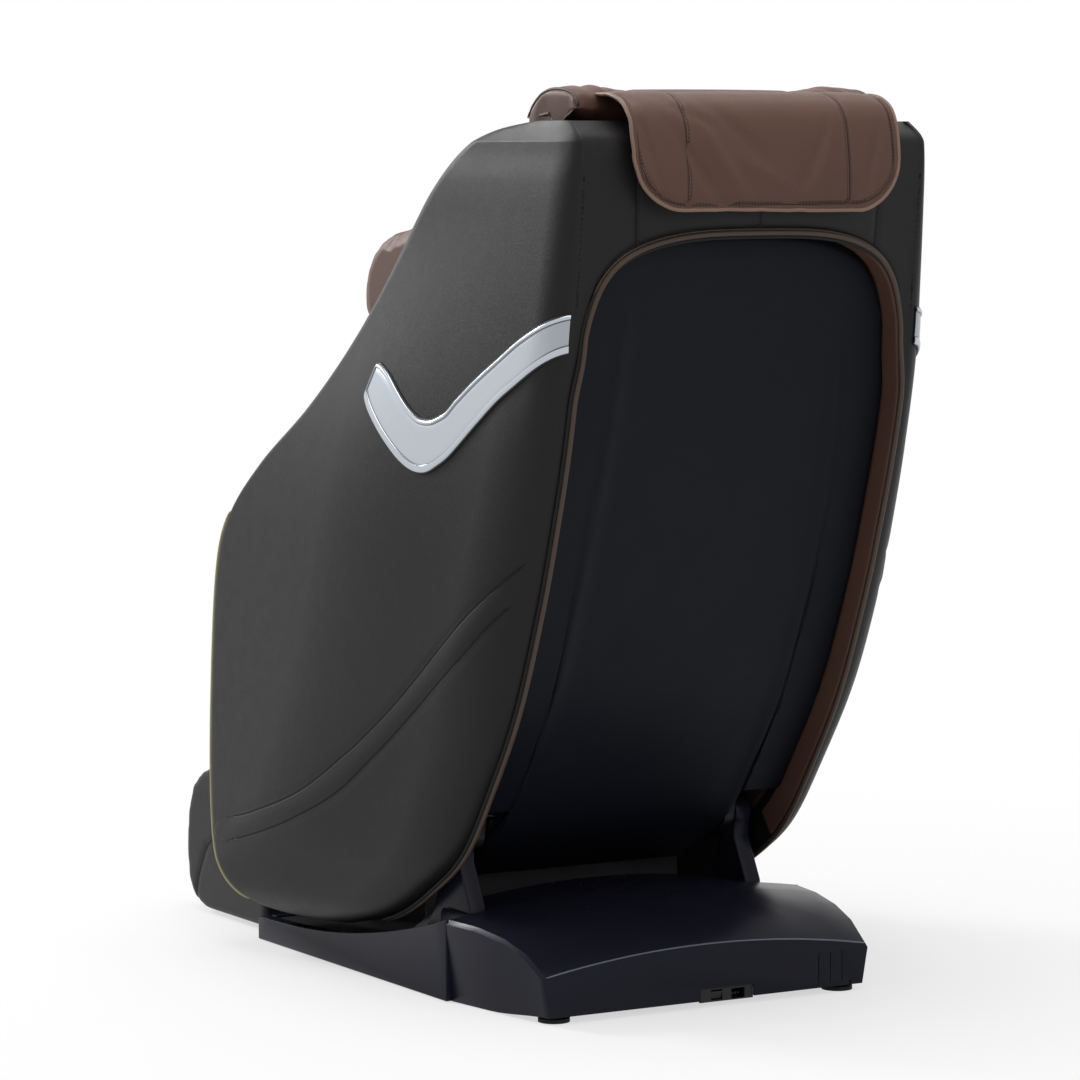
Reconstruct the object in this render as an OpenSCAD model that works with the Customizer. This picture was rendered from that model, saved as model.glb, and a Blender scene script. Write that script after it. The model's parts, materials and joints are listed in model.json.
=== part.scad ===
// Massage chair with a one-piece reclining body, a swinging leg rest and a low base.
// The chair faces -Y, +X is the sitter's left, +Z is up, and the floor is z = 0.

/* [Overall size] */
// Height from the floor to the top of the head cushion
chair_height = 1150; // [1100:5:1250]
// Height of the roll of the head cushion above the side shells
roll_height = 38; // [30:1:46]
// Clear width between the two leather side shells
shell_gap = 486; // [460:2:540]
// Thickness of a side shell at the arm
arm_thick = 100; // [84:1:120]
// Thickness of a side shell at its rear edge
rear_thick = 45; // [36:1:56]
// Height of the front end of the arms
arm_z = 592; // [570:1:610]

/* [Rim and back cover] */
// How far the back cover lies inside the rim
cover_recess = 30; // [20:1:40]
// Wall of the moulded back cover
cover_wall = 3.5; // [2.5:0.5:5]
// Thickness of the leather lining on the inside of the rim
liner_thick = 6; // [4:0.5:8]
// Depth of the leather band between the top of the shells and the arch
arch_drop = 134; // [120:1:150]
// Height of the curved part of the arch over the back cover
arch_rise = 190; // [140:2:220]
// Outward bulge of the leather above the back cover
yoke_crown = 20; // [8:1:26]
// Depth of the leather piece above the back cover
yoke_depth = 44; // [36:1:50]
// Radius of the welt round the rim
welt_r = 4; // [3:0.5:5]

/* [Base] */
// Outer width of the base across its side covers
base_width = 536; // [512:2:560]
// Width of the base across its rear corners
base_rear_width = 484; // [460:2:500]
// Rear end of the base
base_rear_y = 430; // [400:5:450]
// Front end of the base
base_front_y = -292; // [-300:1:-280]
// Wall of the moulded base covers
base_wall = 3; // [2:0.5:4]
// Radius of a foot pad
foot_pad_r = 20; // [15:1:24]
// Radius of a transport wheel
wheel_r = 24; // [20:1:26]
// Width of a transport wheel
wheel_w = 18; // [14:1:22]

/* [Recline pivot] */
// Distance of the pivot behind the chair's middle
pivot_y = 165; // [161:1:169]
// Height of the pivot
pivot_z = 200; // [197:1:204]
// Radius of the pivot pins
pivot_pin_r = 9; // [8:0.5:11]
// Thickness of an upright bracket
bracket_thick = 24; // [18:1:26]
// Running clearance of every pin in its bore
run_gap = 0.05; // [0.02:0.01:0.08]

/* [Cushions] */
// Top of the seat cushion at its middle
seat_top_z = 442; // [430:1:456]
// Thickness of the back cushion
back_thick = 60; // [45:1:70]
// Lean of the backrest from upright, in degrees
back_lean = 15; // [12:0.5:17]
// Thickness of an arm pad
arm_pad_thick = 22; // [15:1:30]
// Thickness of the hanging part of the head cushion
flap_thick = 6; // [4:0.5:8]
// Half width of the hanging part of the head cushion
flap_half = 193; // [170:1:205]

/* [Massage mechanism] */
// Radius of a guide rail
rail_r = 10; // [8:0.5:12]
// Distance of each guide rail from the middle plane
rail_x = 160; // [140:1:170]
// Height of the carriage frame along the rails
carriage_h = 120; // [100:2:140]
// Radius of a massage roller
roller_r = 24; // [18:1:26]
// Width of a massage roller
roller_w = 22; // [16:1:28]
// Distance of the massage rollers from the middle plane
roller_x = 66; // [55:1:80]
// Distance from the arm pivot to each massage roller
roller_reach = 66; // [56:1:76]

/* [Leg rest] */
// Radius of the leg rest hinge pins
leg_pin_r = 7; // [6:0.5:9]
// Front face of the calf section
calf_front_y = -505; // [-520:1:-490]
// Front face of the foot section
foot_front_y = -578; // [-585:1:-550]
// Clear width of a calf or foot well between its pads
well_clear = 126; // [110:1:140]
// Wall of the leg rest shells
leg_wall = 8; // [6:0.5:12]
// Radius of a foot roller
foot_roller_r = 17; // [14:1:19]
// Travel of the foot section
foot_travel = 120; // [80:5:130]

/* [Hidden] */
$fn = 48;
part_gap = 0.3;
half_in = shell_gap / 2;
board_thick = 9;
board_in = half_in - board_thick;
shell_share = 0.932;
back_rise = (chair_height - roll_height - arm_z) / shell_share;
leather = [0.20, 0.19, 0.18];
brown = [0.34, 0.25, 0.22];
cover_color = [0.10, 0.11, 0.14];
base_color = [0.17, 0.18, 0.22];
steel = [0.30, 0.31, 0.33];
silver = [0.80, 0.82, 0.84];

// A height above the arms, as a share of the rise from the arms to the top.
function up(share) = arm_z + share * back_rise;

// Front edge and rear rim of a side shell as [y, z], from the bottom to the top.
front_edge = [[-150, 52], [-240, 62], [-292, 115], [-309, 190], [-308, 330],
    [-290, 510], [-254, arm_z], [-171, up(0.134)], [-54, up(0.280)], [46, up(0.457)],
    [150, up(0.702)], [206, up(0.803)], [263, up(0.874)], [327, up(0.912)], [420, up(shell_share)]];
rear_rim = [[-60, 56], [60, 88], [150, 133], [232, 190], [300, 280],
    [365, 385], [420, 515], [452, up(0.032)], [480, up(0.203)], [500, up(0.373)],
    [516, up(0.597)], [527, up(0.780)], [531, up(0.866)], [526, up(0.901)], [500, up(shell_share)]];
shell_top_z = up(shell_share);
arch_top_z = shell_top_z - arch_drop;
arch_spring_z = arch_top_z - arch_rise;

// Point on a smooth curve through the points p, at share s of its length in points.
function curve_at(p, s) =
    let (spans = len(p) - 1,
         place = min(max(s, 0), 1) * spans,
         k = min(floor(place), spans - 1),
         t = place - k,
         a = p[max(k - 1, 0)], b = p[k], c = p[k + 1], d = p[min(k + 2, spans)])
    0.5 * (2 * b + (c - a) * t + (2 * a - 5 * b + 4 * c - d) * t * t
        + (3 * b - a - 3 * c + d) * t * t * t);
function front_at(s) = curve_at(front_edge, s);
function rear_at(s) = curve_at(rear_rim, s);
function clamp01(x) = min(max(x, 0), 1);
function ease(x) = let (c = clamp01(x)) c * c * (3 - 2 * c);
function round_in(x) = let (c = clamp01(x)) sqrt(1 - (1 - c) * (1 - c));
function bulge(t, power) = pow(max(0, 1 - pow(abs(t), power)), 1 / power);
function signed_pow(x, power) = sign(x) * pow(abs(x), power);

rim_steps = 60;
rim_line = [for (i = [0 : rim_steps]) rear_at(i / rim_steps)];
rim_table = [for (p = rim_line) [p[1], p[0]]];
function rim_y(z) = lookup(z, rim_table);
front_table = [for (i = [8 : rim_steps]) let (p = front_at(i / rim_steps)) [p[1], p[0]]];
function front_y(z) = lookup(z, front_table);

// Thickness of a side shell at a point, before its edges are rounded.
function rear_depth(z) = rear_thick + lookup(z, [[150, -3], [300, 3], [420, 9], [540, 9],
    [700, 3], [800, -4], [900, -10], [990, -16], [1040, -20], [1075, -25], [1112, -28]]);
function shell_depth(y, z) =
    let (rear = rear_depth(z),
         front = arm_thick - (arm_thick - rear - 8) * ease((z - 560) / 440),
         blend = ease((rim_y(z) - y) / 420))
    rear + (front - rear) * blend;
front_round = 32;
rear_round = 95;
edge_min = 4;
function shell_out(y, z, from_front, from_rear, from_end) =
    half_in + edge_min + (shell_depth(y, z) - edge_min) * round_in(from_front / front_round)
        * round_in(from_rear / rear_round) * from_end;

// Solid through a list of closed rings with equal, even point counts.
module loft(rings) {
    n = len(rings[0]);
    m = len(rings);
    last = (m - 1) * n;
    half = n / 2;
    skin = [for (i = [0 : m - 2], j = [0 : n - 1])
        let (a = i * n + j, b = i * n + (j + 1) % n) each [[a, b, b + n], [a, b + n, a + n]]];
    ends = [for (k = [0 : half - 2])
        let (a = k, b = k + 1, c = n - 2 - k, d = n - 1 - k)
        each concat(k == half - 2 && c == b ? [] : [[a, d, c], [a, c, b]],
            [[last + a, last + b, last + c], [last + a, last + c, last + d]])];
    polyhedron([for (r = rings) each r], concat(skin, ends), convexity = 8);
}

module mirror_x(side) {
    if (side > 0) children(); else mirror([1, 0, 0]) children();
}

// Frame that follows the lean of the back: y points rearwards, z up along the back.
back_y = 150;
back_z = 420;
module on_back() {
    translate([0, back_y, back_z]) rotate([-back_lean, 0, 0]) children();
}

module box(x0, x1, y0, y1, z0, z1) {
    translate([x0, y0, z0]) cube([x1 - x0, y1 - y0, z1 - z0]);
}

module both_sides() {
    children();
    mirror([1, 0, 0]) children();
}

module rod_x(x0, x1, y, z, r) {
    translate([x0, y, z]) rotate([0, 90, 0]) cylinder(h = x1 - x0, r = r);
}

// Outline in Y and Z, drawn out along X.
module yz_slab(x0, x1, points) {
    translate([x0, 0, 0]) rotate([90, 0, 90]) linear_extrude(x1 - x0) polygon(points);
}

// Outline in X and Z, drawn out along Y.
module xz_slab(y0, y1) {
    translate([0, y1, 0]) rotate([90, 0, 0]) linear_extrude(y1 - y0) children();
}

// ---------------------------------------------------------------- base
base_half = base_width / 2;
base_rear_half = base_rear_width / 2;
seam_y = 232;
crest_z = 106;
rear_top_z = 60;
deck_z = 30;
foot_h = 8;
skirt_z = 1;

pan_low_z = deck_z - 4;
plate_top = 144;
wheel_y = 330;
wheel_z = wheel_r + 1;
wheel_x = 176;
axle_r = 4;
foot_rows = [-250, 404];
module base_frame() {
    color(steel) {
        difference() {
            union() {
                box(-base_half + 22, base_half - 22, base_front_y + 13.3, 210, pan_low_z, deck_z);
                box(-base_half + base_wall + part_gap, base_half - base_wall - part_gap,
                    -200, 225, pan_low_z, deck_z);
                box(-base_rear_half + 22, base_rear_half - 22, 200, base_rear_y - base_wall - part_gap,
                    pan_low_z, deck_z);
                // ears that carry the axles of the transport wheels
                both_sides() for (x = [wheel_x - 16, wheel_x + 10])
                    box(x, x + 6, wheel_y - 12, wheel_y + 12, wheel_z - 9, deck_z + 6);
                both_sides() box(206, 226, base_front_y + 20, 422, foot_h + part_gap, pan_low_z + 1);
                for (y = [-250, 60, 372]) box(-207, 207, y - 9, y + 9, foot_h + part_gap, pan_low_z + 1);
            }
            both_sides() box(wheel_x - wheel_w / 2 - 0.6, wheel_x + wheel_w / 2 + 0.6,
                wheel_y - wheel_r - 2, wheel_y + wheel_r + 2, pan_low_z - 1, deck_z + 1);
            both_sides() rod_x(wheel_x - 17, wheel_x + 17, wheel_y, wheel_z, axle_r + part_gap);
        }
        // cross plate under the seat
        box(-194, 194, 44, 48, deck_z - 1, plate_top);
        base_clevis();
    }
}

// Upright ears of the base for the foot of the recline drive, with a pin across them.
module base_clevis() {
    for (side = [-1, 1]) let (c = act_x + side * 19) {
        box(c - 4, c + 4, act_low[0] - 16, act_low[0] + 16, deck_z - 1, act_low[1]);
        rod_x(c - 4, c + 4, act_low[0], act_low[1], 16);
    }
    rod_x(act_x - 22, act_x + 22, act_low[0], act_low[1], act_pin_r);
}

module transport_wheel(side) {
    color([0.12, 0.12, 0.13]) mirror_x(side) {
        difference() {
            rod_x(wheel_x - wheel_w / 2, wheel_x + wheel_w / 2, wheel_y, wheel_z, wheel_r);
            rod_x(wheel_x + 4, wheel_x + wheel_w, wheel_y, wheel_z, wheel_r * 0.6);
            rod_x(wheel_x - wheel_w, wheel_x - 4, wheel_y, wheel_z, wheel_r * 0.6);
        }
        rod_x(wheel_x - 15, wheel_x + 15, wheel_y, wheel_z, axle_r + part_gap - run_gap);
    }
}

module base_feet() {
    color([0.08, 0.08, 0.08]) both_sides() for (y = foot_rows)
        translate([212, y, 0]) {
            cylinder(h = foot_h - 3, r = foot_pad_r);
            cylinder(h = foot_h, r = foot_pad_r * 0.6);
        }
}

// Rear cover: an arched lid that falls towards the back, with a skirt down to the floor.
lid_front_y = 150;
lid_front_half = base_half - 38;
lid_arch = 22;
skirt_taper = 8;
skirt_lift = 8;
lid_side = [[150, 105], [232, 105], [290, 104], [345, 97], [390, 84], [base_rear_y, 60]];
function lid_half(y) = base_half - (base_half - base_rear_half) * (y - seam_y) / (base_rear_y - seam_y);
function lid_ring(y, half, taper, inset, low) =
    let (top = lookup(y, lid_side) - inset)
    concat([[-half + inset + taper, y, low]],
        [for (t = [-1, -0.985, -0.9, -0.75, -0.55, -0.35, -0.12, 0.12, 0.35, 0.55, 0.75, 0.9, 0.985, 1])
            [(half - inset) * t, y, top + lid_arch * (1 - pow(t, 2)) - (abs(t) == 1 ? 5 : 0)]],
        [[half - inset - taper, y, low]]);
module rear_lid(inset, low) {
    ys = [base_rear_y - inset, 420, 410, 400, 390, 375, 360, 345, 328, 310, 290, 270, 250, seam_y - inset / 2];
    loft([for (y = ys) lid_ring(y, lid_half(y), skirt_taper, inset, low + skirt_lift * ease((y - 310) / 120))]);
    loft([for (y = [seam_y + 4, lid_front_y - inset]) lid_ring(y, lid_front_half, 0, inset, max(low, deck_z - 20))]);
}

inlet_x = -28;
inlet_half = 40;
inlet_top = 24;
module base_rear_cover() {
    color(base_color) difference() {
        rear_lid(0, skirt_z);
        rear_lid(base_wall, -1);
        // room for the deck of the frame, and slots for the upright brackets
        box(-base_half - 1, base_half + 1, lid_front_y - 2, seam_y, -1, deck_z + part_gap);
        both_sides() box(bracket_in - 3, bracket_out + 3, lid_front_y - 20, bracket_foot_y + 3, 0, 200);
        // hatch with the power inlet, and a raised edge beside it
        box(inlet_x - inlet_half, inlet_x + inlet_half, base_rear_y - 6, base_rear_y + 6, -1, inlet_top);
        box(inlet_x - 200, inlet_x + inlet_half + 6, base_rear_y - 20, base_rear_y + 6, -1, 6);
        for (x = [-166, -184, -202]) box(x - 1, x + 1, base_rear_y - 1, base_rear_y + 6, 16, 54);
        translate([-214, base_rear_y + 1, 12]) rotate([90, 0, 0]) cylinder(h = 6, r = 2.6);
    }
}

module base_side_cover(side) {
    top = [for (i = [0 : 16]) let (y = seam_y - 1 - i * (seam_y - 1 - base_front_y) / 16,
        t = (y - base_front_y) / (seam_y - base_front_y)) [y, 32 + 74 * pow(t, 2.1)]];
    color(base_color) mirror_x(side) difference() {
        yz_slab(base_half - 20, base_half, concat([[base_front_y, skirt_z]],
            [for (i = [16 : -1 : 0]) top[i]], [[seam_y - 1, skirt_z]]));
        yz_slab(base_half - 21, base_half - base_wall, concat([[base_front_y + base_wall, -1]],
            [for (i = [15 : -1 : 1]) top[i] - [0, base_wall]], [[seam_y - 1 - base_wall, 95],
            [seam_y - 1 - base_wall, -1]]));
    }
}

module base_front_cover() {
    color(base_color) difference() {
        box(-base_half + 20.3, base_half - 20.3, base_front_y, base_front_y + 13, skirt_z, deck_z + 2);
        box(-base_half + 30, base_half - 30, base_front_y + base_wall, base_front_y + 14, 0, deck_z - 1);
    }
}

module power_inlet() {
    color([0.06, 0.06, 0.07]) difference() {
        union() {
            box(inlet_x - inlet_half + 0.4, inlet_x + inlet_half - 0.4, base_rear_y - 5.7,
                base_rear_y - 2.5, 6.4, inlet_top - 0.4);
            box(inlet_x - 30, inlet_x - 4, base_rear_y - 28, base_rear_y - 5.7, 6.4, inlet_top - 1);
            box(inlet_x + 4, inlet_x + 26, base_rear_y - 24, base_rear_y - 5.7, 7, inlet_top - 1);
        }
        box(inlet_x - 27, inlet_x - 7, base_rear_y - 22, base_rear_y, 8, inlet_top - 3);
        box(switch_x - 8.5, switch_x + 8.5, base_rear_y - 18, base_rear_y, 8.4, inlet_top - 2.4);
        rod_x(switch_x - switch_pin_half - part_gap, switch_x + switch_pin_half + part_gap,
            switch_y, switch_z, switch_pin_r + run_gap);
    }
    color(silver) for (x = [-4, 0, 4]) box(inlet_x - 17 + x - 1, inlet_x - 17 + x + 1,
        base_rear_y - 22, base_rear_y - 9, 12, 15);
}

switch_x = inlet_x + 15;
switch_y = base_rear_y - 8;
switch_z = 15;
switch_pin_r = 1.6;
switch_pin_half = 9.6;
module power_switch() {
    color([0.10, 0.10, 0.11]) translate([switch_x, switch_y, switch_z]) {
        yz_slab(-8.2, 8.2, [[-5, -4.4], [3.2, -5.2], [4.6, 0], [6.2, 4.6], [-5, 4.4]]);
        rod_x(-switch_pin_half, switch_pin_half, 0, 0, switch_pin_r);
    }
}

bracket_out = 222;
bracket_in = bracket_out - bracket_thick;
bracket_head = 22;
bracket_foot_y = 222;
bracket_side = [[60, deck_z], [60, 66], [116, 98], [134, 140], [pivot_y - bracket_head + 1, pivot_z],
    [pivot_y + bracket_head - 3, pivot_z], [182, 168], [210, 114], [bracket_foot_y, deck_z]];
module pivot_bracket(side) {
    color(base_color) mirror_x(side) {
        yz_slab(bracket_in, bracket_out, bracket_side);
        rod_x(bracket_in, bracket_out, pivot_y, pivot_z, bracket_head);
    }
    color(silver) mirror_x(side) rod_x(bracket_in - 16, bracket_in + 1, pivot_y, pivot_z, pivot_pin_r);
}

// ---------------------------------------------------------------- actuators
act_x = -55;
act_low = [-20, 62];
act_high = [-45, 288];
act_eye = [-45.7, 289.2];
act_pin_r = 8;
act_slack = 1.9;
leg_act_x = 55;
leg_act_rear = [-40, 330];
leg_act_front = [-275, 340];
leg_act_eye = [-276.7, 337.8];
leg_act_pin_r = 6;
leg_act_slack = 3.3;

// Motor housing and outer tube of a linear drive, along +Z from its rear eye.
module drive_tube(tube_l, motor_r, pin_r, rod_r, eye_half) {
    difference() {
        union() {
            rod_x(-eye_half, eye_half, 0, 0, pin_r + 6);
            translate([0, 0, 24]) cylinder(h = 34, r = motor_r);
            cylinder(h = 30, r = pin_r + 3);
            translate([0, 0, 50]) cylinder(h = tube_l - 50, r = rod_r + 5);
        }
        rod_x(-eye_half - 1, eye_half + 1, 0, 0, pin_r + run_gap);
        translate([0, 0, 60]) cylinder(h = tube_l, r = rod_r + run_gap);
    }
}

// Sliding rod of a linear drive, from inside its tube to the eye at length eye_l.
module drive_rod(start, eye_l, rod_r, bore_r, eye_half) {
    difference() {
        union() {
            translate([0, 0, start]) cylinder(h = eye_l - bore_r - 2 - start, r = rod_r);
            rod_x(-eye_half, eye_half, 0, eye_l, bore_r + 5);
        }
        rod_x(-eye_half - 1, eye_half + 1, 0, eye_l, bore_r);
    }
}

module along(x, from, to) {
    d = to - from;
    translate([x, from[0], from[1]]) rotate([-atan2(d[0], d[1]), 0, 0]) children();
}

act_l = norm(act_eye - act_low);
leg_act_l = norm(leg_act_eye - leg_act_rear);
module recline_drive_tube() {
    color([0.14, 0.14, 0.15]) along(act_x, act_low, act_eye)
        drive_tube(act_l - 30, 22, act_pin_r, 9, 14.5);
}
module recline_drive_rod() {
    color(silver) along(act_x, act_low, act_eye)
        drive_rod(64, act_l, 9, act_pin_r + act_slack, 10);
}
module leg_drive_tube() {
    color([0.14, 0.14, 0.15]) along(leg_act_x, leg_act_rear, leg_act_eye)
        drive_tube(leg_act_l - 48, 20, leg_act_pin_r, 7, 12);
}
module leg_drive_rod() {
    color(silver) along(leg_act_x, leg_act_rear, leg_act_eye)
        drive_rod(90, leg_act_l, 7, leg_act_pin_r + leg_act_slack, 7);
}

// ---------------------------------------------------------------- body frame
tube_w = 26;
rail_in = board_in - part_gap - tube_w;
hinge_y = -275;
hinge_z = 365;
pan_z = 366;
seat_front_y = -284;
module seat_frame() {
    color(steel) {
        both_sides() {
            difference() {
                union() {
                    box(rail_in, rail_in + tube_w, -262, 214, 330, pan_z - 3);
                    box(rail_in, rail_in + 8, -292, -250, 345, pan_z - 3);
                    rod_x(rail_in, rail_in + 8, hinge_y, hinge_z, 14);
                }
                rod_x(rail_in - 1, rail_in + 9, hinge_y, hinge_z, leg_pin_r + run_gap);
            }
            // hanging ear that carries the recline pivot
            difference() {
                union() {
                    yz_slab(ear_in, ear_out, [[pivot_y - ear_r, pivot_z], [pivot_y + ear_r, pivot_z],
                        [206, 332], [120, 332]]);
                    rod_x(ear_in, ear_out, pivot_y, pivot_z, ear_r);
                }
                rod_x(ear_in - 1, ear_out + 1, pivot_y, pivot_z, pivot_pin_r + run_gap);
            }
            box(ear_in, rail_in, 120, 206, 331, 345);
            // hanger for the air pump and the control box
            box(196, 200, -110, 70, 204, 331);
            box(200, rail_in + 10, -110, 70, 326, 330);
            box(102, 200, -110, 70, 200, 204);
        }
        box(-board_in + 1, board_in - 1, -262, 165, pan_z - 3, pan_z);
        box(-rail_in, rail_in, -236, -216, 290, 316);
        both_sides() box(rail_in - 10, rail_in, -236, -216, 290, 340);
        box(-rail_in, rail_in, 100, 119, 331, pan_z - 3);
        drive_clevis(act_x, act_high, act_pin_r, 15);
        drive_clevis(leg_act_x, leg_act_rear, leg_act_pin_r, 17);
    }
}

// Two ears below the seat pan with a pin across them.
module drive_clevis(x, at, pin_r, inner) {
    for (side = [-1, 1]) {
        c = x + side * (inner + 3);
        hull() {
            rod_x(c - 3, c + 3, at[0], at[1], pin_r + 8);
            box(c - 3, c + 3, at[0] - 24, at[0] + 24, pan_z - 6, pan_z - 3);
        }
    }
    rod_x(x - inner - 1, x + inner + 1, at[0], at[1], pin_r);
}

ear_out = bracket_in - part_gap;
ear_in = ear_out - 14;
ear_r = 18;
upright_v = 104;
rail_v = 74;
rail_low = -30;
rail_drop = 138;
rail_top = (chair_height - rail_drop - back_z) / cos(back_lean);
module back_frame() {
    color(steel) {
        on_back() {
            both_sides() {
                box(board_in - part_gap - 22, board_in - part_gap, upright_v, upright_v + 26,
                    -66, rail_top + 26);
            }
            for (w = [rail_low - 24, rail_top]) {
                box(-board_in + 18, board_in - 18, upright_v + 1, upright_v + 25, w, w + 24);
                both_sides() box(rail_x - 13, rail_x + 13, rail_v - 13, upright_v + 2, w, w + 24);
            }
        }
        // feet of the uprights on the seat rails
        both_sides() yz_slab(board_in - part_gap - 21, board_in - part_gap - 1,
            [[214.3, 331], [250, 331], [262, 376], [236, 392], [214.3, 363]]);
    }
}

module guide_rails() {
    color(silver) on_back() both_sides() translate([rail_x, rail_v, rail_low])
        cylinder(h = rail_top - rail_low, r = rail_r);
}

// ---------------------------------------------------------------- massage mechanism
carriage_w = 100;
arm_v = 30;
shaft_r = 8;
module carriage() {
    low = carriage_w - carriage_h / 2;
    color(steel) on_back() {
        both_sides() difference() {
            box(rail_x - 18, rail_x + 18, rail_v - 17, rail_v + 17, low, low + carriage_h);
            translate([rail_x, rail_v, low - 1]) cylinder(h = carriage_h + 2, r = rail_r + run_gap);
            box(rail_x - 19, rail_x + 19, rail_v - 18, rail_v + 18, low + 30, low + carriage_h - 30);
        }
        both_sides() box(rail_x - 18, rail_x - 12, rail_v - 17, rail_v + 17, low + 29, low + carriage_h - 29);
        for (w = [low, low + carriage_h - 16])
            box(-rail_x + 18, rail_x - 18, rail_v - 6, rail_v + 10, w, w + 16);
        both_sides() difference() {
            union() {
                box(112, 118, arm_v, rail_v + 10, low, low + carriage_h);
                rod_x(112, 118, arm_v, carriage_w, 18);
            }
            box(111, 119, 0, rail_v - 6, low - 1, carriage_w - 24);
            box(111, 119, 0, rail_v - 6, carriage_w + 24, low + carriage_h + 1);
        }
        rod_x(-118, 118, arm_v, carriage_w, shaft_r);
    }
}

module massage_motor() {
    low = carriage_w - carriage_h / 2;
    color([0.20, 0.20, 0.22]) on_back() {
        box(-34, 34, rail_v + 10 + part_gap, rail_v + 52, low + 6, low + carriage_h - 6);
        rod_x(34, 92, rail_v + 31, carriage_w + 18, 20);
        rod_x(-92, -34, rail_v + 31, carriage_w - 18, 20);
    }
}

module massage_arm(side) {
    color([0.55, 0.56, 0.58]) on_back() mirror_x(side) {
        difference() {
            union() {
                rod_x(roller_x - 26, roller_x - 14, arm_v, carriage_w, 15);
                yz_slab(roller_x - 26, roller_x - 18, [[arm_v - 12, carriage_w - roller_reach - 6],
                    [arm_v + 2, carriage_w - roller_reach - 10], [arm_v + 14, carriage_w - 20],
                    [arm_v + 14, carriage_w + 20], [arm_v + 2, carriage_w + roller_reach + 10],
                    [arm_v - 12, carriage_w + roller_reach + 6], [arm_v - 8, carriage_w + 22],
                    [arm_v - 8, carriage_w - 22]]);
            }
            rod_x(roller_x - 27, roller_x - 13, arm_v, carriage_w, shaft_r + run_gap);
        }
        for (end = [-1, 1]) {
            rod_x(roller_x - 18, roller_x + roller_w / 2 + 2, arm_v - 6,
                carriage_w + end * roller_reach, 4);
        }
    }
}

module massage_roller(side, end) {
    color([0.42, 0.30, 0.24]) on_back() mirror_x(side)
        translate([roller_x, arm_v - 6, carriage_w + end * roller_reach]) rotate([0, 90, 0])
            rotate_extrude() difference() {
                intersection() {
                    circle(r = roller_r);
                    translate([4 + run_gap, -roller_w / 2]) square([roller_r, roller_w]);
                }
                translate([4 + run_gap, roller_w / 2 - 5]) square([6, 6]);
            }
}

// ---------------------------------------------------------------- leather body
// Shell rings run across a side, from the front edge to the rear rim and back inside.
shell_rows = 40;
front_marks = [0, 4, 14, 30, 45];
rear_marks = [95, 62, 36, 16, 4, 0];
middle_marks = [0.2, 0.45, 0.7];
function shell_ring(s) =
    let (f = front_at(s), r = rear_at(s), span = norm(r - f), dir = (r - f) / span,
         low = round_in((s + 0.006) * 9), high = 1 - 0.55 * pow(ease((s - 0.915) / 0.085), 1.4),
         marks = concat([for (d = front_marks) d * min(1, span / 160)],
             [for (m = middle_marks) let (a = 45 * min(1, span / 160), b = span - 95 * min(1, span / 160))
                 a + (b - a) * m],
             [for (d = rear_marks) span - d * min(1, span / 160)]))
    concat([for (d = marks) let (p = f + dir * d)
        [shell_out(p[0], p[1], d / min(1, span / 160), (span - d) / min(1, span / 160), low * high),
            p[0], p[1]]],
        [[half_in, r[0], r[1]], [half_in, f[0], f[1]]]);

module side_shell(side) {
    color(leather) mirror_x(side) loft([for (i = [0 : shell_rows]) shell_ring(i / shell_rows)]);
}

board_rear_gap = 52;
board_front_gap = 22;
module side_board(side) {
    front = [for (i = [2 : 3 : 56]) front_at(i / 60) + [board_front_gap * (i < 50 ? 1 : 0.8), i < 8 ? 10 : -6]];
    rear = concat([[rim_inset(50, board_rear_gap)[0], shell_top_z - 20]],
        [for (i = [50 : -3 : 8]) rim_inset(i, board_rear_gap)]);
    color([0.55, 0.42, 0.28]) mirror_x(side) yz_slab(board_in, half_in - part_gap, concat(front, rear));
}

arch_power = 3.2;
function arch_z(x, inset) =
    let (half = half_in - inset, rise = arch_top_z - arch_spring_z - inset)
    arch_spring_z + rise * bulge(min(abs(x) / half, 1), arch_power);
function crown(x) = yoke_crown * (1 - pow(x / half_in, 2));
module arch_outline(inset, bottom) {
    half = half_in - inset;
    xs = [for (a = [-90 : 6 : 90]) half * signed_pow(sin(a), 2 / arch_power)];
    polygon(concat([[-half, bottom]], [for (x = xs) [x, arch_z(x, inset)]], [[half, bottom]]));
}

rim_low = 6;
function rim_inset(i, depth) = rim_line[i] - rim_normal(i) * depth;
module rim_band(outer, inner) {
    yz_slab(-half_in, half_in, concat([for (i = [rim_low : rim_steps - 6]) rim_inset(i, outer)],
        [for (i = [rim_steps - 6 : -1 : rim_low]) rim_inset(i, inner)]));
}

module rim_liner() {
    color(brown) intersection() {
        rim_band(2, cover_recess + cover_wall + 3);
        xz_slab(100, 620) difference() {
            arch_outline(part_gap, 172);
            arch_outline(liner_thick, 150);
        }
    }
}

notch_z = 207;
notch_x = ear_in - 5;
module back_cover() {
    color(cover_color) difference() {
        intersection() {
            rim_band(cover_recess, cover_recess + cover_wall);
            xz_slab(20, 620) arch_outline(liner_thick + part_gap, 92);
        }
        both_sides() box(notch_x, half_in, 20, 300, 80, notch_z);
    }
}

yoke_columns = 30;
yoke_rows = 9;
module rear_yoke() {
    function yoke_ring(x) =
        let (bottom = arch_z(x, 0), top = shell_top_z,
             zs = [for (j = [0 : yoke_rows]) bottom + (top - bottom) * (1 - pow(1 - j / yoke_rows, 1.5))])
        concat([for (z = zs) [x, rim_y(z) + crown(x) - 6 * pow(1 - clamp01((z - bottom) / 14), 2), z]],
            [for (j = [yoke_rows : -1 : 0]) [x, min(rim_y(zs[j]), rim_y(top - 20)) - yoke_depth, zs[j]]]);
    color(leather) loft([for (i = [0 : yoke_columns])
        yoke_ring(-(half_in - part_gap) * signed_pow(sin(-90 + 180 * i / yoke_columns), 2 / arch_power))]);
}

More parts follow.
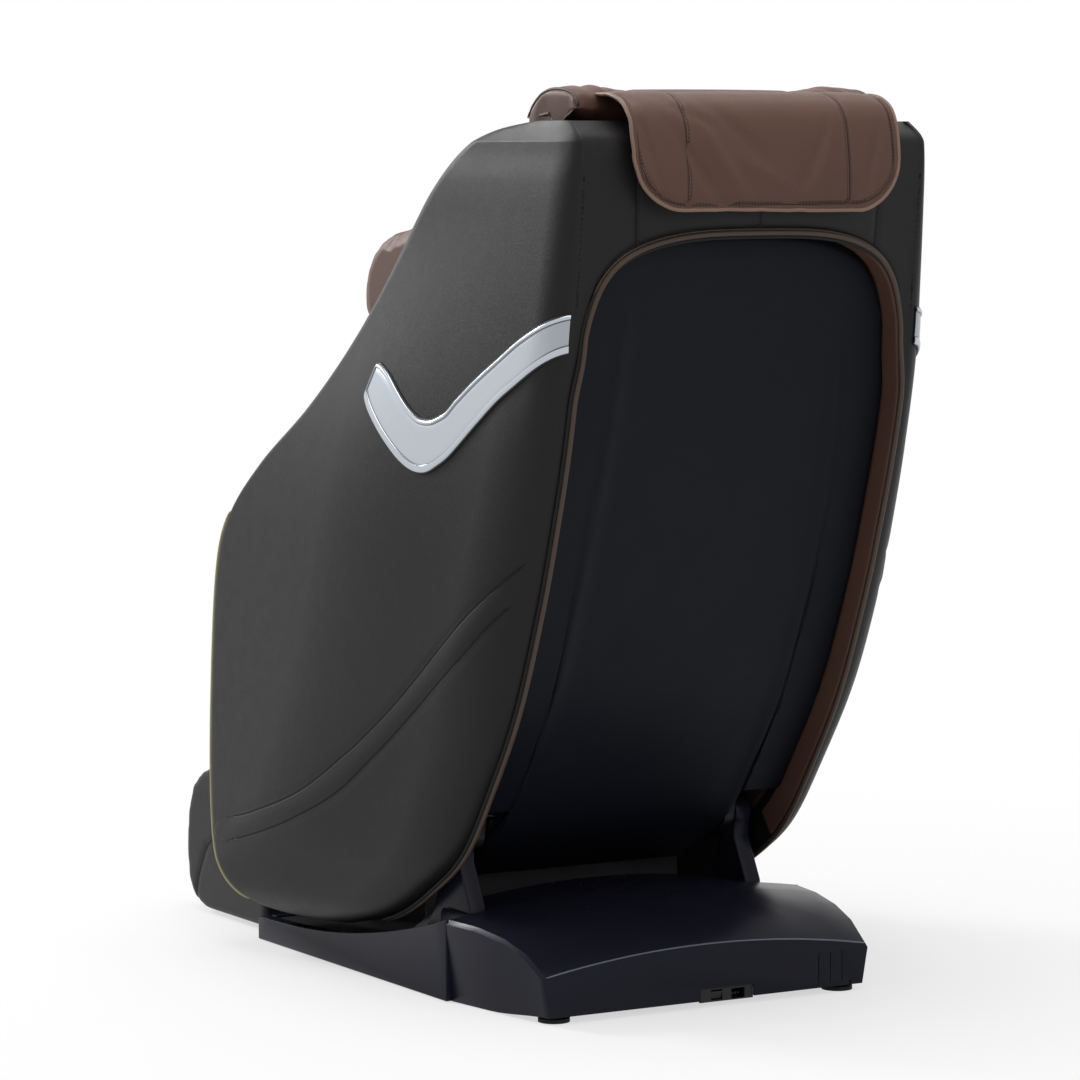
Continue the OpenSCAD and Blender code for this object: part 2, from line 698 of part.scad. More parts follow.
// Welt: a round cord along a path, swept with rings of eight points.
function unit(v) = v / norm(v);
function path_tangent(path, i) = unit(path[min(i + 1, len(path) - 1)] - path[max(i - 1, 0)]);
module cord(path, radius, side_hint) {
    loft([for (i = [0 : len(path) - 1])
        let (t = path_tangent(path, i), a = unit(cross(side_hint, t)), b = cross(t, a))
        [for (k = [0 : 5]) path[i] + radius * (cos(60 * k) * a + sin(60 * k) * b)]]);
}
function rim_normal(i) = let (t = rim_line[min(i + 1, rim_steps)] - rim_line[max(i - 1, 0)])
    [t[1], -t[0]] / norm(t);
welt_side = [for (i = [3 : 3 : 39]) let (n = rim_normal(i), off = welt_r + 0.4)
    [half_in - welt_r + 1, rim_line[i][0] + n[0] * off, rim_line[i][1] + n[1] * off]];
welt_arch = [for (a = [84 : -7 : -84]) let (x = (half_in - 2) * signed_pow(sin(a), 2 / arch_power),
    z = arch_z(x, 2)) [x, rim_y(z) + crown(x) + welt_r - 1.5, z]];
module rim_welt() {
    right_side = [for (i = [len(welt_side) - 1 : -1 : 0]) [-welt_side[i][0], welt_side[i][1], welt_side[i][2]]];
    color(brown) cord(concat(welt_side, welt_arch, right_side), welt_r, [0, 1, 0.1]);
}

// Light welt on the front rounding of each side shell, from its lower corner up to the arm.
front_welt_r = 2.5;
front_welt_in = 23;
front_welt_out = 0.8;
module front_welt(side) {
    path = [for (i = [6 : 26])
        let (s = i / 60, f = front_at(s), r = rear_at(s), span = norm(r - f),
             p = f + (r - f) / span * front_welt_in)
        [shell_out(p[0], p[1], front_welt_in, span - front_welt_in, round_in((s + 0.006) * 9))
            + front_welt_out, p[0], p[1]]];
    color([0.62, 0.60, 0.58]) mirror_x(side) cord(path, front_welt_r, [1, 0, 0]);
}

// Silver band on the side: short arm at the front, low turn, long arm up to the rim.
trim_thick = 4;
trim_low = [[118, up(0.311)], [132, up(0.280)], [161, up(0.236)], [185, up(0.204)], [208, up(0.177)],
    [229, up(0.159)], [249, up(0.151)], [268, up(0.154)], [288, up(0.170)], [307, up(0.189)],
    [326, up(0.215)], [363, up(0.269)], [401, up(0.321)], [439, up(0.363)], [472, up(0.398)],
    [502, up(0.430)], [520, up(0.448)]];
trim_high = [[137, up(0.388)], [151, up(0.380)], [170, up(0.360)], [194, up(0.326)], [218, up(0.295)],
    [241, up(0.274)], [258, up(0.269)], [272, up(0.271)], [288, up(0.281)], [301, up(0.293)],
    [319, up(0.321)], [357, up(0.370)], [397, up(0.414)], [437, up(0.456)], [473, up(0.486)],
    [502, up(0.510)], [522, up(0.527)]];
trim_steps = 32;
module side_trim(side) {
    function on_shell(p, lift) =
        let (y = min(p[0], rim_y(p[1]) - 3), far = rim_y(p[1]) - y, near = y - front_y(p[1]))
        [shell_out(y, p[1], near, far, 1) + lift, y, p[1]];
    function trim_ring(s) =
        let (a = curve_at(trim_low, s), b = curve_at(trim_high, s))
        concat([for (k = [0 : 3]) on_shell(a + (b - a) * k / 3, trim_thick)],
            [for (k = [3 : -1 : 0]) on_shell(a + (b - a) * k / 3, 1)]);
    color(silver) mirror_x(side) loft([for (i = [0 : trim_steps]) trim_ring(i / trim_steps)]);
}

// ---------------------------------------------------------------- cushions
// Closed soft ring: a rounded rectangle in Y and Z at one x.
function soft_ring(x, y, z, half_y, half_z, power, steps) =
    [for (k = [0 : steps - 1]) let (a = 360 * (k + 0.5) / steps)
        [x, y + half_y * signed_pow(cos(a), 2 / power), z + half_z * signed_pow(sin(a), 2 / power)]];
pad_marks = [-1, -0.985, -0.94, -0.85, -0.65, -0.35, 0, 0.35, 0.65, 0.85, 0.94, 0.985, 1];

seat_crown = 6;
module seat_cushion() {
    half = board_in - 2;
    mid_y = (seat_front_y + 96) / 2;
    half_y = (96 - seat_front_y) / 2;
    color(brown) loft([for (t = pad_marks)
        let (swell = max(0.45, bulge(t, 5)), thick = seat_top_z - pan_z - part_gap - seat_crown * t * t)
        soft_ring(half * t, mid_y, pan_z + part_gap + thick / 2, half_y * (0.97 + 0.03 * swell),
            thick / 2 * (0.4 + 0.6 * swell), 4.5, 24)]);
}

cushion_front = -back_thick - 14;
module back_cushion() {
    half = board_in - part_gap;
    low = 20;
    high = min(rail_top - 110, 470);
    color(brown) on_back() loft([for (t = pad_marks)
        let (swell = max(0.4, bulge(t, 4)))
        soft_ring(half * t, cushion_front + back_thick / 2, (low + high) / 2,
            back_thick / 2 * (0.45 + 0.55 * swell), (high - low) / 2 * (0.985 + 0.015 * swell), 4.5, 24)]);
}

// Head cushion: a pad in front of the yoke whose top rolls over the shell. Its outline is held as
// [distance from the lean of the back, drop from the top, shares of the edge rounding].
head_half = 222;
head_front = [[16.3, 20, 1], [-2.1, 56, 1], [-17.6, 110, 0], [-28.2, 160, 0], [-29.5, 200, 0],
    [-17.6, 222, -1]];
head_rear = [[13.1, 232, 0, 1], [40.4, 222, 0, 1], [51.8, 190, 0, 0], [58.4, 140, 1, 0], [72.7, 96, 1, 0]];
function lean_y(z) = back_y + tan(back_lean) * (z - back_z);
module head_cushion() {
    top = chair_height - 2;
    rest = shell_top_z + part_gap;
    function head_ring(t) =
        let (swell = max(0.35, bulge(t, 5)), x = head_half * t, dz = 15 * (1 - swell), dy = 7 * (1 - swell))
        concat([[x, 474, rest + 8], [x, 470, top - 10 - dz], [x, 450, top - 3 - dz],
            [x, 418, top - dz], [x, 385 + dy, top - 5 - dz]],
            [for (p = head_front) [x, lean_y(top - p[1]) + p[0] + dy, top - p[1] - dz * p[2]]],
            [for (p = head_rear) [x, lean_y(top - p[1]) + p[0] - dy * p[2], top - p[1] + dz * p[3]]],
            [[x, 440, rest], [x, 474, rest]]);
    color(brown) loft([for (t = pad_marks) head_ring(t)]);
}

// Hanging leather of the head cushion, over the top and down behind the shell.
flap_drop = 147;
flap_low_z = chair_height - flap_drop;
flap_corner = 70;
flap_outline = concat(
    [for (a = [-90 : 9 : 0]) [flap_half - flap_corner * (1 - cos(a)), flap_low_z + flap_corner * (1 + sin(a))]],
    [[flap_half - 10, chair_height + 5], [-flap_half + 10, chair_height + 5]],
    [for (a = [180 : 9 : 270]) [-flap_half + flap_corner * (1 + cos(a)),
        flap_low_z + flap_corner * (1 + sin(a))]]);
module head_flap() {
    path = [[475, chair_height - 3], [498, chair_height - 2.5], [521, chair_height - 8],
        [541, chair_height - 20], [554, chair_height - 44], [561, chair_height - 88],
        [562.5, chair_height - 120], [563, flap_low_z]];
    inner = [for (i = [0 : len(path) - 1]) path[i]
        + flap_thick * unit([for (k = [0, 1]) (k == 0 ? -1 : 1)
            * (path[min(i + 1, len(path) - 1)] - path[max(i - 1, 0)])[1 - k]]) * -1];
    color(brown) intersection() {
        yz_slab(-flap_half, flap_half, concat(path, [for (i = [len(path) - 1 : -1 : 0]) inner[i]]));
        xz_slab(460, 600) polygon(flap_outline);
    }
}

module shoulder_wing(side) {
    mid_z = up(0.556);
    marks = [0, 0.04, 0.14, 0.32, 0.6, 0.84, 1];
    color(brown) mirror_x(side) loft([for (t = marks)
        let (swell = max(0.55, pow(1 - pow(1 - t, 3), 0.5)))
        [for (p = soft_ring(board_in - 62 + (62 - part_gap) * t, 66, mid_z, 123 * swell, 82 * swell, 2.3, 20))
            p + [0, 0.22 * (p[2] - mid_z), 0]]]);
}

module arm_pad(side) {
    color(brown) mirror_x(side) loft([for (t = [0, 0.1, 0.35, 0.7, 1])
        let (swell = max(0.8, bulge(1 - t, 3)))
        soft_ring(board_in - part_gap - arm_pad_thick * (1 - t), -70, arm_z - 66,
            166 * (0.94 + 0.06 * swell), 46 * (0.8 + 0.2 * swell), 4, 20)]);
}

// ---------------------------------------------------------------- controls
panel_x = -(board_in - part_gap - arm_pad_thick);
panel_y = -160;
panel_z = arm_z - 58;
button_marks = [-26, 0, 26];
button_r = 8;
module control_panel() {
    color([0.12, 0.12, 0.13]) difference() {
        box(panel_x + 0.4, panel_x + 8.4, panel_y - 46, panel_y + 46, panel_z - 18, panel_z + 18);
        for (y = button_marks) rod_x(panel_x + 3.4, panel_x + 9, panel_y + y, panel_z, button_r + 0.3);
    }
}
module button(index) {
    color([0.75, 0.75, 0.76])
        rod_x(panel_x + 5.4, panel_x + 10.4, panel_y + button_marks[index], panel_z, button_r);
}

module air_pump() {
    color([0.22, 0.23, 0.25]) {
        box(112, 188, -95, 55, 204 + part_gap, 268);
        for (y = [-60, 20]) translate([150, y, 268]) cylinder(h = 22, r = 26);
    }
}

module control_box() {
    color([0.30, 0.31, 0.33]) {
        box(-190, -112, -95, 55, 204 + part_gap, 262);
        for (y = [-80 : 20 : 40]) box(-186, -116, y, y + 8, 262, 268);
    }
}

// ---------------------------------------------------------------- leg rest
leg_half = half_in - 5;
calf_rear_y = -330;
hood_z = 343;
hood_rear_y = -296;
calf_low_z = 216;
calf_top_z = 352;
divider = 16;
well_in = divider;
well_out = leg_half - leg_wall;
calf_profile = [[calf_rear_y, calf_low_z], [calf_front_y + 14, calf_low_z],
    [calf_front_y, calf_low_z + 40], [calf_front_y, calf_top_z - 62],
    [calf_front_y + 30, calf_top_z - 20], [calf_front_y + 76, calf_top_z], [calf_rear_y, calf_top_z]];
module calf_shell() {
    color(leather) difference() {
        union() {
            yz_slab(-leg_half, leg_half, calf_profile);
            box(-rail_in + 12, rail_in - 12, calf_rear_y - 1, hood_rear_y, hood_z, calf_top_z);
        }
        both_sides() box(well_in, well_out, calf_front_y - 1, calf_rear_y - 12, calf_low_z - 1, calf_top_z + 1);
    }
}

pad_side = (well_out - well_in - well_clear) / 2;
calf_pad_rear = calf_rear_y - 12 - part_gap;
module well_lining(profile, rear_y, rear_thick_y, low_z, top_z) {
    both_sides() difference() {
        intersection() {
            box(well_in + part_gap, well_out - part_gap, -620, rear_y, low_z, top_z);
            yz_slab(0, leg_half, profile);
        }
        box(well_in + pad_side, well_out - pad_side, -640, rear_y - rear_thick_y, low_z - 30, top_z + 30);
    }
}
module calf_pad() {
    color(brown) well_lining(calf_profile, calf_pad_rear, 24, calf_low_z, calf_top_z);
}

// Steel frame behind the calf section, with hinge ears and the tubes for the foot rods.
slide_x = 120;
slide_y = -318;
slide_r = 8;
slide_top = 340;
rod_top = slide_top - 6;
rod_grip = 104;
slide_low = rod_top - foot_travel - rod_grip;
module legrest_frame() {
    color(steel) {
        both_sides() {
            rod_x(rail_in - 8.3, rail_in - part_gap, hinge_y, hinge_z, 13);
            yz_slab(rail_in - 8.3, rail_in - part_gap, [[calf_rear_y + part_gap, 300],
                [calf_rear_y + part_gap, 330], [hinge_y - 13, hinge_z],
                [hinge_y + 12, hinge_z - 4], [hinge_y - 18, 300]]);
            rod_x(rail_in - 4, rail_in + 12, hinge_y, hinge_z, leg_pin_r);
        }
        box(-rail_in + part_gap, rail_in - part_gap, calf_rear_y + part_gap, calf_rear_y + 3,
            calf_low_z + 10, 318);
        for (side = [-1, 1]) hull() {
            rod_x(leg_act_x + side * 11 - 3, leg_act_x + side * 11 + 3, leg_act_front[0],
                leg_act_front[1], leg_act_pin_r + 5);
            box(leg_act_x + side * 11 - 3, leg_act_x + side * 11 + 3, calf_rear_y + 2, calf_rear_y + 5,
                300, 318);
        }
        rod_x(leg_act_x - 13, leg_act_x + 13, leg_act_front[0], leg_act_front[1], leg_act_pin_r);
    }
}

// ---------------------------------------------------------------- foot section
foot_low_z = 6;
foot_top_z = 212;
foot_rear_y = -330;
foot_profile = [[foot_rear_y, foot_low_z], [foot_front_y + 60, foot_low_z],
    [foot_front_y + 24, foot_low_z + 11], [foot_front_y + 6, foot_low_z + 34], [foot_front_y, 84],
    [foot_front_y + 4, 140], [foot_front_y + 20, 178], [foot_front_y + 48, 200],
    [foot_front_y + 84, foot_top_z], [foot_rear_y, foot_top_z]];
foot_floor = 5;
sole_z = 52;
roller_y = -440;
foot_axle_r = 4;
foot_axle_z = foot_low_z + foot_floor + foot_roller_r + 3;
module foot_shell() {
    color(leather) {
        difference() {
            yz_slab(-leg_half, leg_half, foot_profile);
            both_sides() intersection() {
                box(well_in, well_out, foot_front_y - 1, foot_rear_y - 12, foot_low_z + foot_floor, 230);
                yz_slab(0, leg_half, [for (p = foot_profile) p + [p[0] < -500 ? 7 : 0,
                    p[1] > 150 ? 40 : p[1] < 60 ? foot_floor : 0]]);
            }
            both_sides() box(well_in + pad_side, well_out - pad_side, foot_front_y - 1, -480, 96, 230);
        }
        both_sides() rod_x(well_in - 1, well_out + 1, roller_y, foot_axle_z, foot_axle_r);
    }
}

module foot_pad() {
    lining = [[foot_rear_y - 12 - part_gap, sole_z + 8], [foot_front_y + 16, sole_z + 12],
        [foot_front_y + 14, 84], [foot_front_y + 18, 138], [foot_front_y + 34, 174],
        [foot_front_y + 58, 194], [foot_front_y + 92, foot_top_z - 6],
        [foot_rear_y - 12 - part_gap, foot_top_z - 6]];
    color(brown) well_lining(lining, foot_rear_y - 12 - part_gap, 20, sole_z + 8, foot_top_z - 4);
}

module foot_roller(side) {
    length = well_out - well_in - 4;
    nub = 3;
    color([0.25, 0.25, 0.27]) mirror_x(side) difference() {
        union() {
            rod_x(well_in + 2, well_in + 2 + length, roller_y, foot_axle_z, foot_roller_r - nub);
            for (i = [0 : 8]) rod_x(well_in + 6 + i * (length - 16) / 8, well_in + 14 + i * (length - 16) / 8,
                roller_y, foot_axle_z, foot_roller_r);
        }
        rod_x(well_in, well_out, roller_y, foot_axle_z, foot_axle_r + run_gap);
    }
}

module leg_slide_tubes() {
    color(steel) both_sides() difference() {
        union() {
            translate([slide_x, slide_y, slide_low]) cylinder(h = slide_top - slide_low, r = slide_r + 3);
            box(slide_x - 9, slide_x + 9, slide_y, calf_rear_y + part_gap, 240, 310);
        }
        translate([slide_x, slide_y, slide_low - 1]) cylinder(h = slide_top - slide_low + 2, r = slide_r + run_gap);
    }
}

module foot_rods() {
    color(silver) both_sides() {
        translate([slide_x, slide_y, 60]) cylinder(h = rod_top - 60, r = slide_r);
        box(slide_x - 14, slide_x + 14, foot_rear_y + part_gap, slide_y + 10, 40, 70);
    }
}

base_frame();
base_feet();
base_rear_cover();
base_side_cover(1);  // base_side_cover_left
base_side_cover(-1);  // base_side_cover_right
base_front_cover();
power_inlet();
power_switch();
transport_wheel(1);  // transport_wheel_left
transport_wheel(-1);  // transport_wheel_right
pivot_bracket(1);  // pivot_bracket_left
pivot_bracket(-1);  // pivot_bracket_right
recline_drive_tube();
recline_drive_rod();
leg_drive_tube();
leg_drive_rod();
seat_frame();
back_frame();
guide_rails();
carriage();
massage_motor();
massage_arm(1);  // massage_arm_left
massage_arm(-1);  // massage_arm_right
massage_roller(1, 1);  // roller_upper_left
massage_roller(-1, 1);  // roller_upper_right
massage_roller(1, -1);  // roller_lower_left
massage_roller(-1, -1);  // roller_lower_right
side_shell(1);  // side_shell_left
side_shell(-1);  // side_shell_right
side_board(1);  // side_board_left
side_board(-1);  // side_board_right
rear_yoke();
rim_liner();
rim_welt();
union() { front_welt(1); front_welt(-1); }  // front_welts
side_trim(1);  // side_trim_left
side_trim(-1);  // side_trim_right
back_cover();
seat_cushion();
back_cushion();
head_cushion();
head_flap();
shoulder_wing(1);  // shoulder_wing_left
shoulder_wing(-1);  // shoulder_wing_right
arm_pad(1);  // arm_pad_left
arm_pad(-1);  // arm_pad_right
control_panel();
button(0);  // button_power
button(1);  // button_recline
button(2);  // button_raise
air_pump();
control_box();
union() { legrest_frame(); leg_slide_tubes(); }
calf_shell();
calf_pad();
foot_shell();
foot_rods();
foot_pad();
foot_roller(1);  // foot_rollers_left
foot_roller(-1);  // foot_rollers_right
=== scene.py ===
"""Looks of a reclining massage chair: leather, trims, soft pieces, base covers and stage."""
import bisect
import json
import math

import bpy
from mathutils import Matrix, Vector
from mathutils.bvhtree import BVHTree
from mathutils.kdtree import KDTree


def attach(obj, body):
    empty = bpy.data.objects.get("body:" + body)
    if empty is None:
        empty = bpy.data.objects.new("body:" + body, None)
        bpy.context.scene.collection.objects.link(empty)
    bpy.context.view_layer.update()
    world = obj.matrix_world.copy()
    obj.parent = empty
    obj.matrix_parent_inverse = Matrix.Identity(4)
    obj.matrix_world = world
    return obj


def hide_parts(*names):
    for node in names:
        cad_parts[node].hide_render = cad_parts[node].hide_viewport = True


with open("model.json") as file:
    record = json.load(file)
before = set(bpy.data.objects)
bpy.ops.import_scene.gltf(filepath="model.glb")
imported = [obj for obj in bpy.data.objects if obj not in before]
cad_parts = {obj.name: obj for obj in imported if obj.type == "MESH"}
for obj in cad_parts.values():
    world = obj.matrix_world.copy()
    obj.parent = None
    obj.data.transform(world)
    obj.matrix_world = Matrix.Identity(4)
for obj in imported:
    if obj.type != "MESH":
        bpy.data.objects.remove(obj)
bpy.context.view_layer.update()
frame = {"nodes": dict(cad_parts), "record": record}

bl_info = {
    "name": "Massage Chair Looks",
    "version": (1, 0, 0),
    "blender": (4, 5, 0),
    "location": "View3D > Sidebar > Massage Chair",
    "description": "Leather, trims, soft pieces and base covers of a reclining massage chair",
    "category": "Object",
}

NODES = frame["nodes"]
MM = 0.001
SIDES = {"left": 1, "right": -1}


def srgb(red, green, blue):
    """Linear colour of a 0 to 255 display colour."""
    def linear(c):
        c /= 255.0
        return c / 12.92 if c <= 0.04045 else ((c + 0.055) / 1.055) ** 2.4
    return (linear(red), linear(green), linear(blue), 1.0)


# ------------------------------------------------------------------ settings
class LeatherSettings(bpy.types.PropertyGroup):
    """Colours and surface of the leather."""
    side_colour: bpy.props.FloatVectorProperty(
        name="Side leather", description="Colour of the side shells and the band over the back",
        subtype="COLOR", size=4, min=0, max=1, default=srgb(30, 28, 28))
    brown_colour: bpy.props.FloatVectorProperty(
        name="Brown leather", description="Colour of the cushions, pads and lining",
        subtype="COLOR", size=4, min=0, max=1, default=srgb(94, 68, 58))
    welt_colour: bpy.props.FloatVectorProperty(
        name="Welt", description="Colour of the welt round the back cover",
        subtype="COLOR", size=4, min=0, max=1, default=srgb(74, 60, 51))
    piping_colour: bpy.props.FloatVectorProperty(
        name="Piping", description="Colour of the thin piping on the front edges",
        subtype="COLOR", size=4, min=0, max=1, default=srgb(158, 155, 118))
    panel_colour: bpy.props.FloatVectorProperty(
        name="Back cover", description="Colour of the vinyl over the back cover",
        subtype="COLOR", size=4, min=0, max=1, default=srgb(15, 17, 25))
    grain_size: bpy.props.FloatProperty(
        name="Grain size", description="Width of one cell of the leather grain",
        subtype="DISTANCE", unit="LENGTH", min=0.0005, max=0.004, default=0.0014)
    seam_depth: bpy.props.FloatProperty(
        name="Seam depth", description="How far a stitched seam pulls the leather in",
        subtype="DISTANCE", unit="LENGTH", min=0.0, max=0.005, default=0.0022)


class TrimSettings(bpy.types.PropertyGroup):
    """Silver band on each side."""
    silver_colour: bpy.props.FloatVectorProperty(
        name="Silver", description="Colour of the silver band",
        subtype="COLOR", size=4, min=0, max=1, default=srgb(186, 192, 199))
    border_width: bpy.props.FloatProperty(
        name="Border width", description="Width of the raised border of the band",
        subtype="DISTANCE", unit="LENGTH", min=0.002, max=0.008, default=0.0052)
    border_height: bpy.props.FloatProperty(
        name="Border height", description="Height of the border over the leather",
        subtype="DISTANCE", unit="LENGTH", min=0.002, max=0.005, default=0.0042)


class CushionSettings(bpy.types.PropertyGroup):
    """How the padded pieces are filled."""
    pressure: bpy.props.FloatProperty(
        name="Filling pressure", description="Pressure that swells a padded piece",
        min=0.0, max=20.0, default=4.0)
    frames: bpy.props.IntProperty(
        name="Settling steps", description="Steps over which the filling settles",
        min=2, max=40, default=18)
    mesh_size: bpy.props.FloatProperty(
        name="Mesh size", description="Edge length of the mesh of a padded piece",
        subtype="DISTANCE", unit="LENGTH", min=0.003, max=0.012, default=0.006)


class BaseSettings(bpy.types.PropertyGroup):
    """Moulded base covers."""
    plastic_colour: bpy.props.FloatVectorProperty(
        name="Base plastic", description="Colour of the moulded base covers",
        subtype="COLOR", size=4, min=0, max=1, default=srgb(27, 28, 39))
    edge_radius: bpy.props.FloatProperty(
        name="Edge radius", description="Radius of the edges of the base covers",
        subtype="DISTANCE", unit="LENGTH", min=0.0004, max=0.004, default=0.0014)


class StageSettings(bpy.types.PropertyGroup):
    """Floor, light and camera."""
    floor_colour: bpy.props.FloatVectorProperty(
        name="Floor", description="Colour of the floor",
        subtype="COLOR", size=4, min=0, max=1, default=(0.86, 0.86, 0.86, 1))
    key_power: bpy.props.FloatProperty(
        name="Key light", description="Power of the large light at the front left",
        subtype="POWER", unit="POWER", min=0.0, max=1000.0, default=125.0)
    fill_light: bpy.props.FloatProperty(
        name="Fill light", description="Strength of the even light from all round",
        min=0.0, max=2.0, default=0.32)
    lens: bpy.props.FloatProperty(
        name="Lens", description="Focal length of the camera",
        subtype="DISTANCE_CAMERA", unit="CAMERA", min=20.0, max=300.0, default=149.07)


# ------------------------------------------------------------------ node groups and materials
class Net:
    """Short way to add and join shader nodes."""

    def __init__(self, tree):
        self.tree = tree

    def add(self, kind, inputs=None, **props):
        node = self.tree.nodes.new("ShaderNode" + kind)
        for key, value in props.items():
            setattr(node, key, value)
        for key, value in (inputs or {}).items():
            self.put(node.inputs[key], value)
        return node

    def put(self, socket, value):
        if isinstance(value, bpy.types.NodeSocket):
            self.tree.links.new(value, socket)
        else:
            socket.default_value = value

    def math(self, operation, a, b=0.0, c=0.0):
        node = self.add("Math", operation=operation)
        for socket, value in zip(node.inputs, (a, b, c)):
            self.put(socket, value)
        return node.outputs[0]

    def times(self, a, b):
        return self.math("MULTIPLY", a, b)

    def plus(self, a, b):
        return self.math("ADD", a, b)

    def minus(self, a, b):
        return self.math("SUBTRACT", a, b)

    def swing(self, value, size):
        """Swing of a 0 to 1 value about its middle, at a size."""
        return self.times(self.minus(value, 0.5), size)

    def span(self, value, low, high):
        """Smooth share of the way from low to high, held to 0 to 1."""
        node = self.add("MapRange", {"Value": value, "From Min": low, "From Max": high},
                        interpolation_type="SMOOTHSTEP")
        return node.outputs[0]

    def mix(self, share, a, b, blend="MIX"):
        node = self.add("Mix", data_type="RGBA", blend_type=blend)
        for index, value in ((0, share), (6, a), (7, b)):
            self.put(node.inputs[index], value)
        return node.outputs[2]

    def lit(self, colour, light):
        """Colour times one grey value."""
        grey = self.add("CombineColor", {0: light, 1: light, 2: light}).outputs[0]
        return self.mix(1.0, colour, grey, "MULTIPLY")

    def give(self, sink, *values):
        """Joins values to the sockets of a group's output, in their order, and returns the tree."""
        for socket, value in zip(sink.inputs, values):
            self.put(socket, value)
        return self.tree

    def surface(self, shader, kind):
        """Ends a material or a world with one shader."""
        self.put(self.tree.nodes.new("ShaderNodeOutput" + kind).inputs[0], shader.outputs[0])

    def place(self):
        return self.add("TexCoord").outputs["Object"]

    def noise(self, scale, detail=2.0, rough=0.5, vector=None):
        node = self.add("TexNoise", {"Scale": scale, "Detail": detail, "Roughness": rough,
                                     "Vector": vector or self.place()})
        return node.outputs["Fac"]


def shader_group(name, inputs, outputs):
    """Empty shader node group with named sockets; returns its net, inputs and output node."""
    tree = bpy.data.node_groups.new(name, "ShaderNodeTree")
    kinds = {"colour": "NodeSocketColor", "value": "NodeSocketFloat"}
    for label, kind, start in inputs:
        socket = tree.interface.new_socket(name=label, in_out="INPUT", socket_type=kinds[kind])
        socket.default_value = start
    for label, kind in outputs:
        tree.interface.new_socket(name=label, in_out="OUTPUT", socket_type=kinds[kind])
    net = Net(tree)
    source = tree.nodes.new("NodeGroupInput")
    sink = tree.nodes.new("NodeGroupOutput")
    return net, source.outputs, sink


def build_stitch_group():
    """Groove and thread of a seam, from the seam values stored on the piece; the groove also marks where
    shade is painted.
    """
    net, given, sink = shader_group(
        "seam_and_thread", [("Thread Offset", "value", 3.2)],
        [("Groove", "value"), ("Thread", "value")])
    stored = net.add("Attribute", attribute_name="seam")
    parts = net.add("SeparateXYZ", {0: stored.outputs["Vector"]}).outputs
    off = net.math("ABSOLUTE", net.times(parts[0], 1000.0))
    on = parts[2]
    groove = net.times(on, net.span(off, 1.9, 0.35))
    line = net.span(net.math("ABSOLUTE", net.minus(off, given[0])), 0.62, 0.28)
    dash = net.math("LESS_THAN", net.math("FRACT", net.times(parts[1], 215.0)), 0.68)
    thread = net.times(net.times(line, dash), on)
    return net.give(sink, groove, thread)


def build_leather_group():
    """Leather: cell grain, pores, soft patches of tone, seams with painted shade in their grooves, and
    thread.
    """
    net, given, sink = shader_group(
        "leather_skin",
        [("Colour", "colour", (0.1, 0.1, 0.1, 1)), ("Thread", "colour", (0.1, 0.1, 0.1, 1)),
         ("Grain Scale", "value", 700.0), ("Patch", "value", 0.1), ("Gloss", "value", 0.46)],
        [("Colour", "colour"), ("Roughness", "value"), ("Height", "value")])
    place = net.place()
    wander = net.add("TexNoise", {"Scale": 260.0, "Detail": 1.0, "Vector": place}).outputs["Color"]
    cells = net.add("TexVoronoi", {"Scale": given["Grain Scale"],
                                   "Vector": net.mix(0.0012, place, wander, "ADD")},
                    feature="DISTANCE_TO_EDGE").outputs["Distance"]
    cell = net.span(cells, 0.02, 0.28)
    pores = net.noise(1500.0, 2.0, 0.6, place)
    patch = net.noise(4.5, 3.0, 0.55, place)
    rubbed = net.noise(38.0, 4.0, 0.65, place)
    seam = net.add("Group")
    seam.node_tree = group("seam_and_thread")
    groove, thread = seam.outputs
    light = net.plus(net.math("MULTIPLY_ADD", net.swing(patch, given["Patch"]), 2.0, 1.0),
                     net.times(net.minus(cell, 0.6), 0.10))
    tone = net.lit(given["Colour"], light)
    # Painted shade: the seam grooves are darkened nearly to black.
    tone = net.mix(net.times(groove, 0.78), tone, (0.004, 0.004, 0.004, 1))
    tone = net.mix(net.times(thread, 0.85), tone, given["Thread"])
    rough = net.plus(net.plus(given["Gloss"], net.swing(rubbed, 0.16)), net.times(groove, 0.25))
    height = net.plus(net.times(cell, 0.10), net.times(pores, 0.03))
    height = net.minus(height, net.times(groove, 0.9))
    height = net.plus(height, net.times(thread, 0.55))
    return net.give(sink, tone, rough, height)


def build_plastic_group():
    """Moulded plastic: spark texture, flow of tone and light scuffs."""
    net, given, sink = shader_group(
        "moulded_plastic",
        [("Colour", "colour", (0.1, 0.1, 0.1, 1)), ("Gloss", "value", 0.4), ("Texture", "value", 0.5),
         ("Scuffs", "value", 0.3)],
        [("Colour", "colour"), ("Roughness", "value"), ("Height", "value")])
    place = net.place()
    spark = net.noise(1300.0, 2.0, 0.7, place)
    flow = net.noise(5.0, 2.0, 0.5, place)
    stretched = net.add("Mapping", {"Vector": place, "Scale": (1.0, 1.0, 9.0)}).outputs[0]
    scratch = net.span(net.noise(70.0, 5.0, 0.75, stretched), 0.66, 0.74)
    scuff = net.times(net.times(scratch, net.span(flow, 0.45, 0.7)), given["Scuffs"])
    light = net.plus(net.math("MULTIPLY_ADD", net.minus(flow, 0.5), 0.10, 1.0),
                     net.times(scuff, 0.35))
    tone = net.lit(given["Colour"], light)
    rough = net.plus(net.plus(given["Gloss"], net.swing(flow, 0.08)), net.times(scuff, 0.2))
    return net.give(sink, tone, rough, net.times(spark, given["Texture"]))


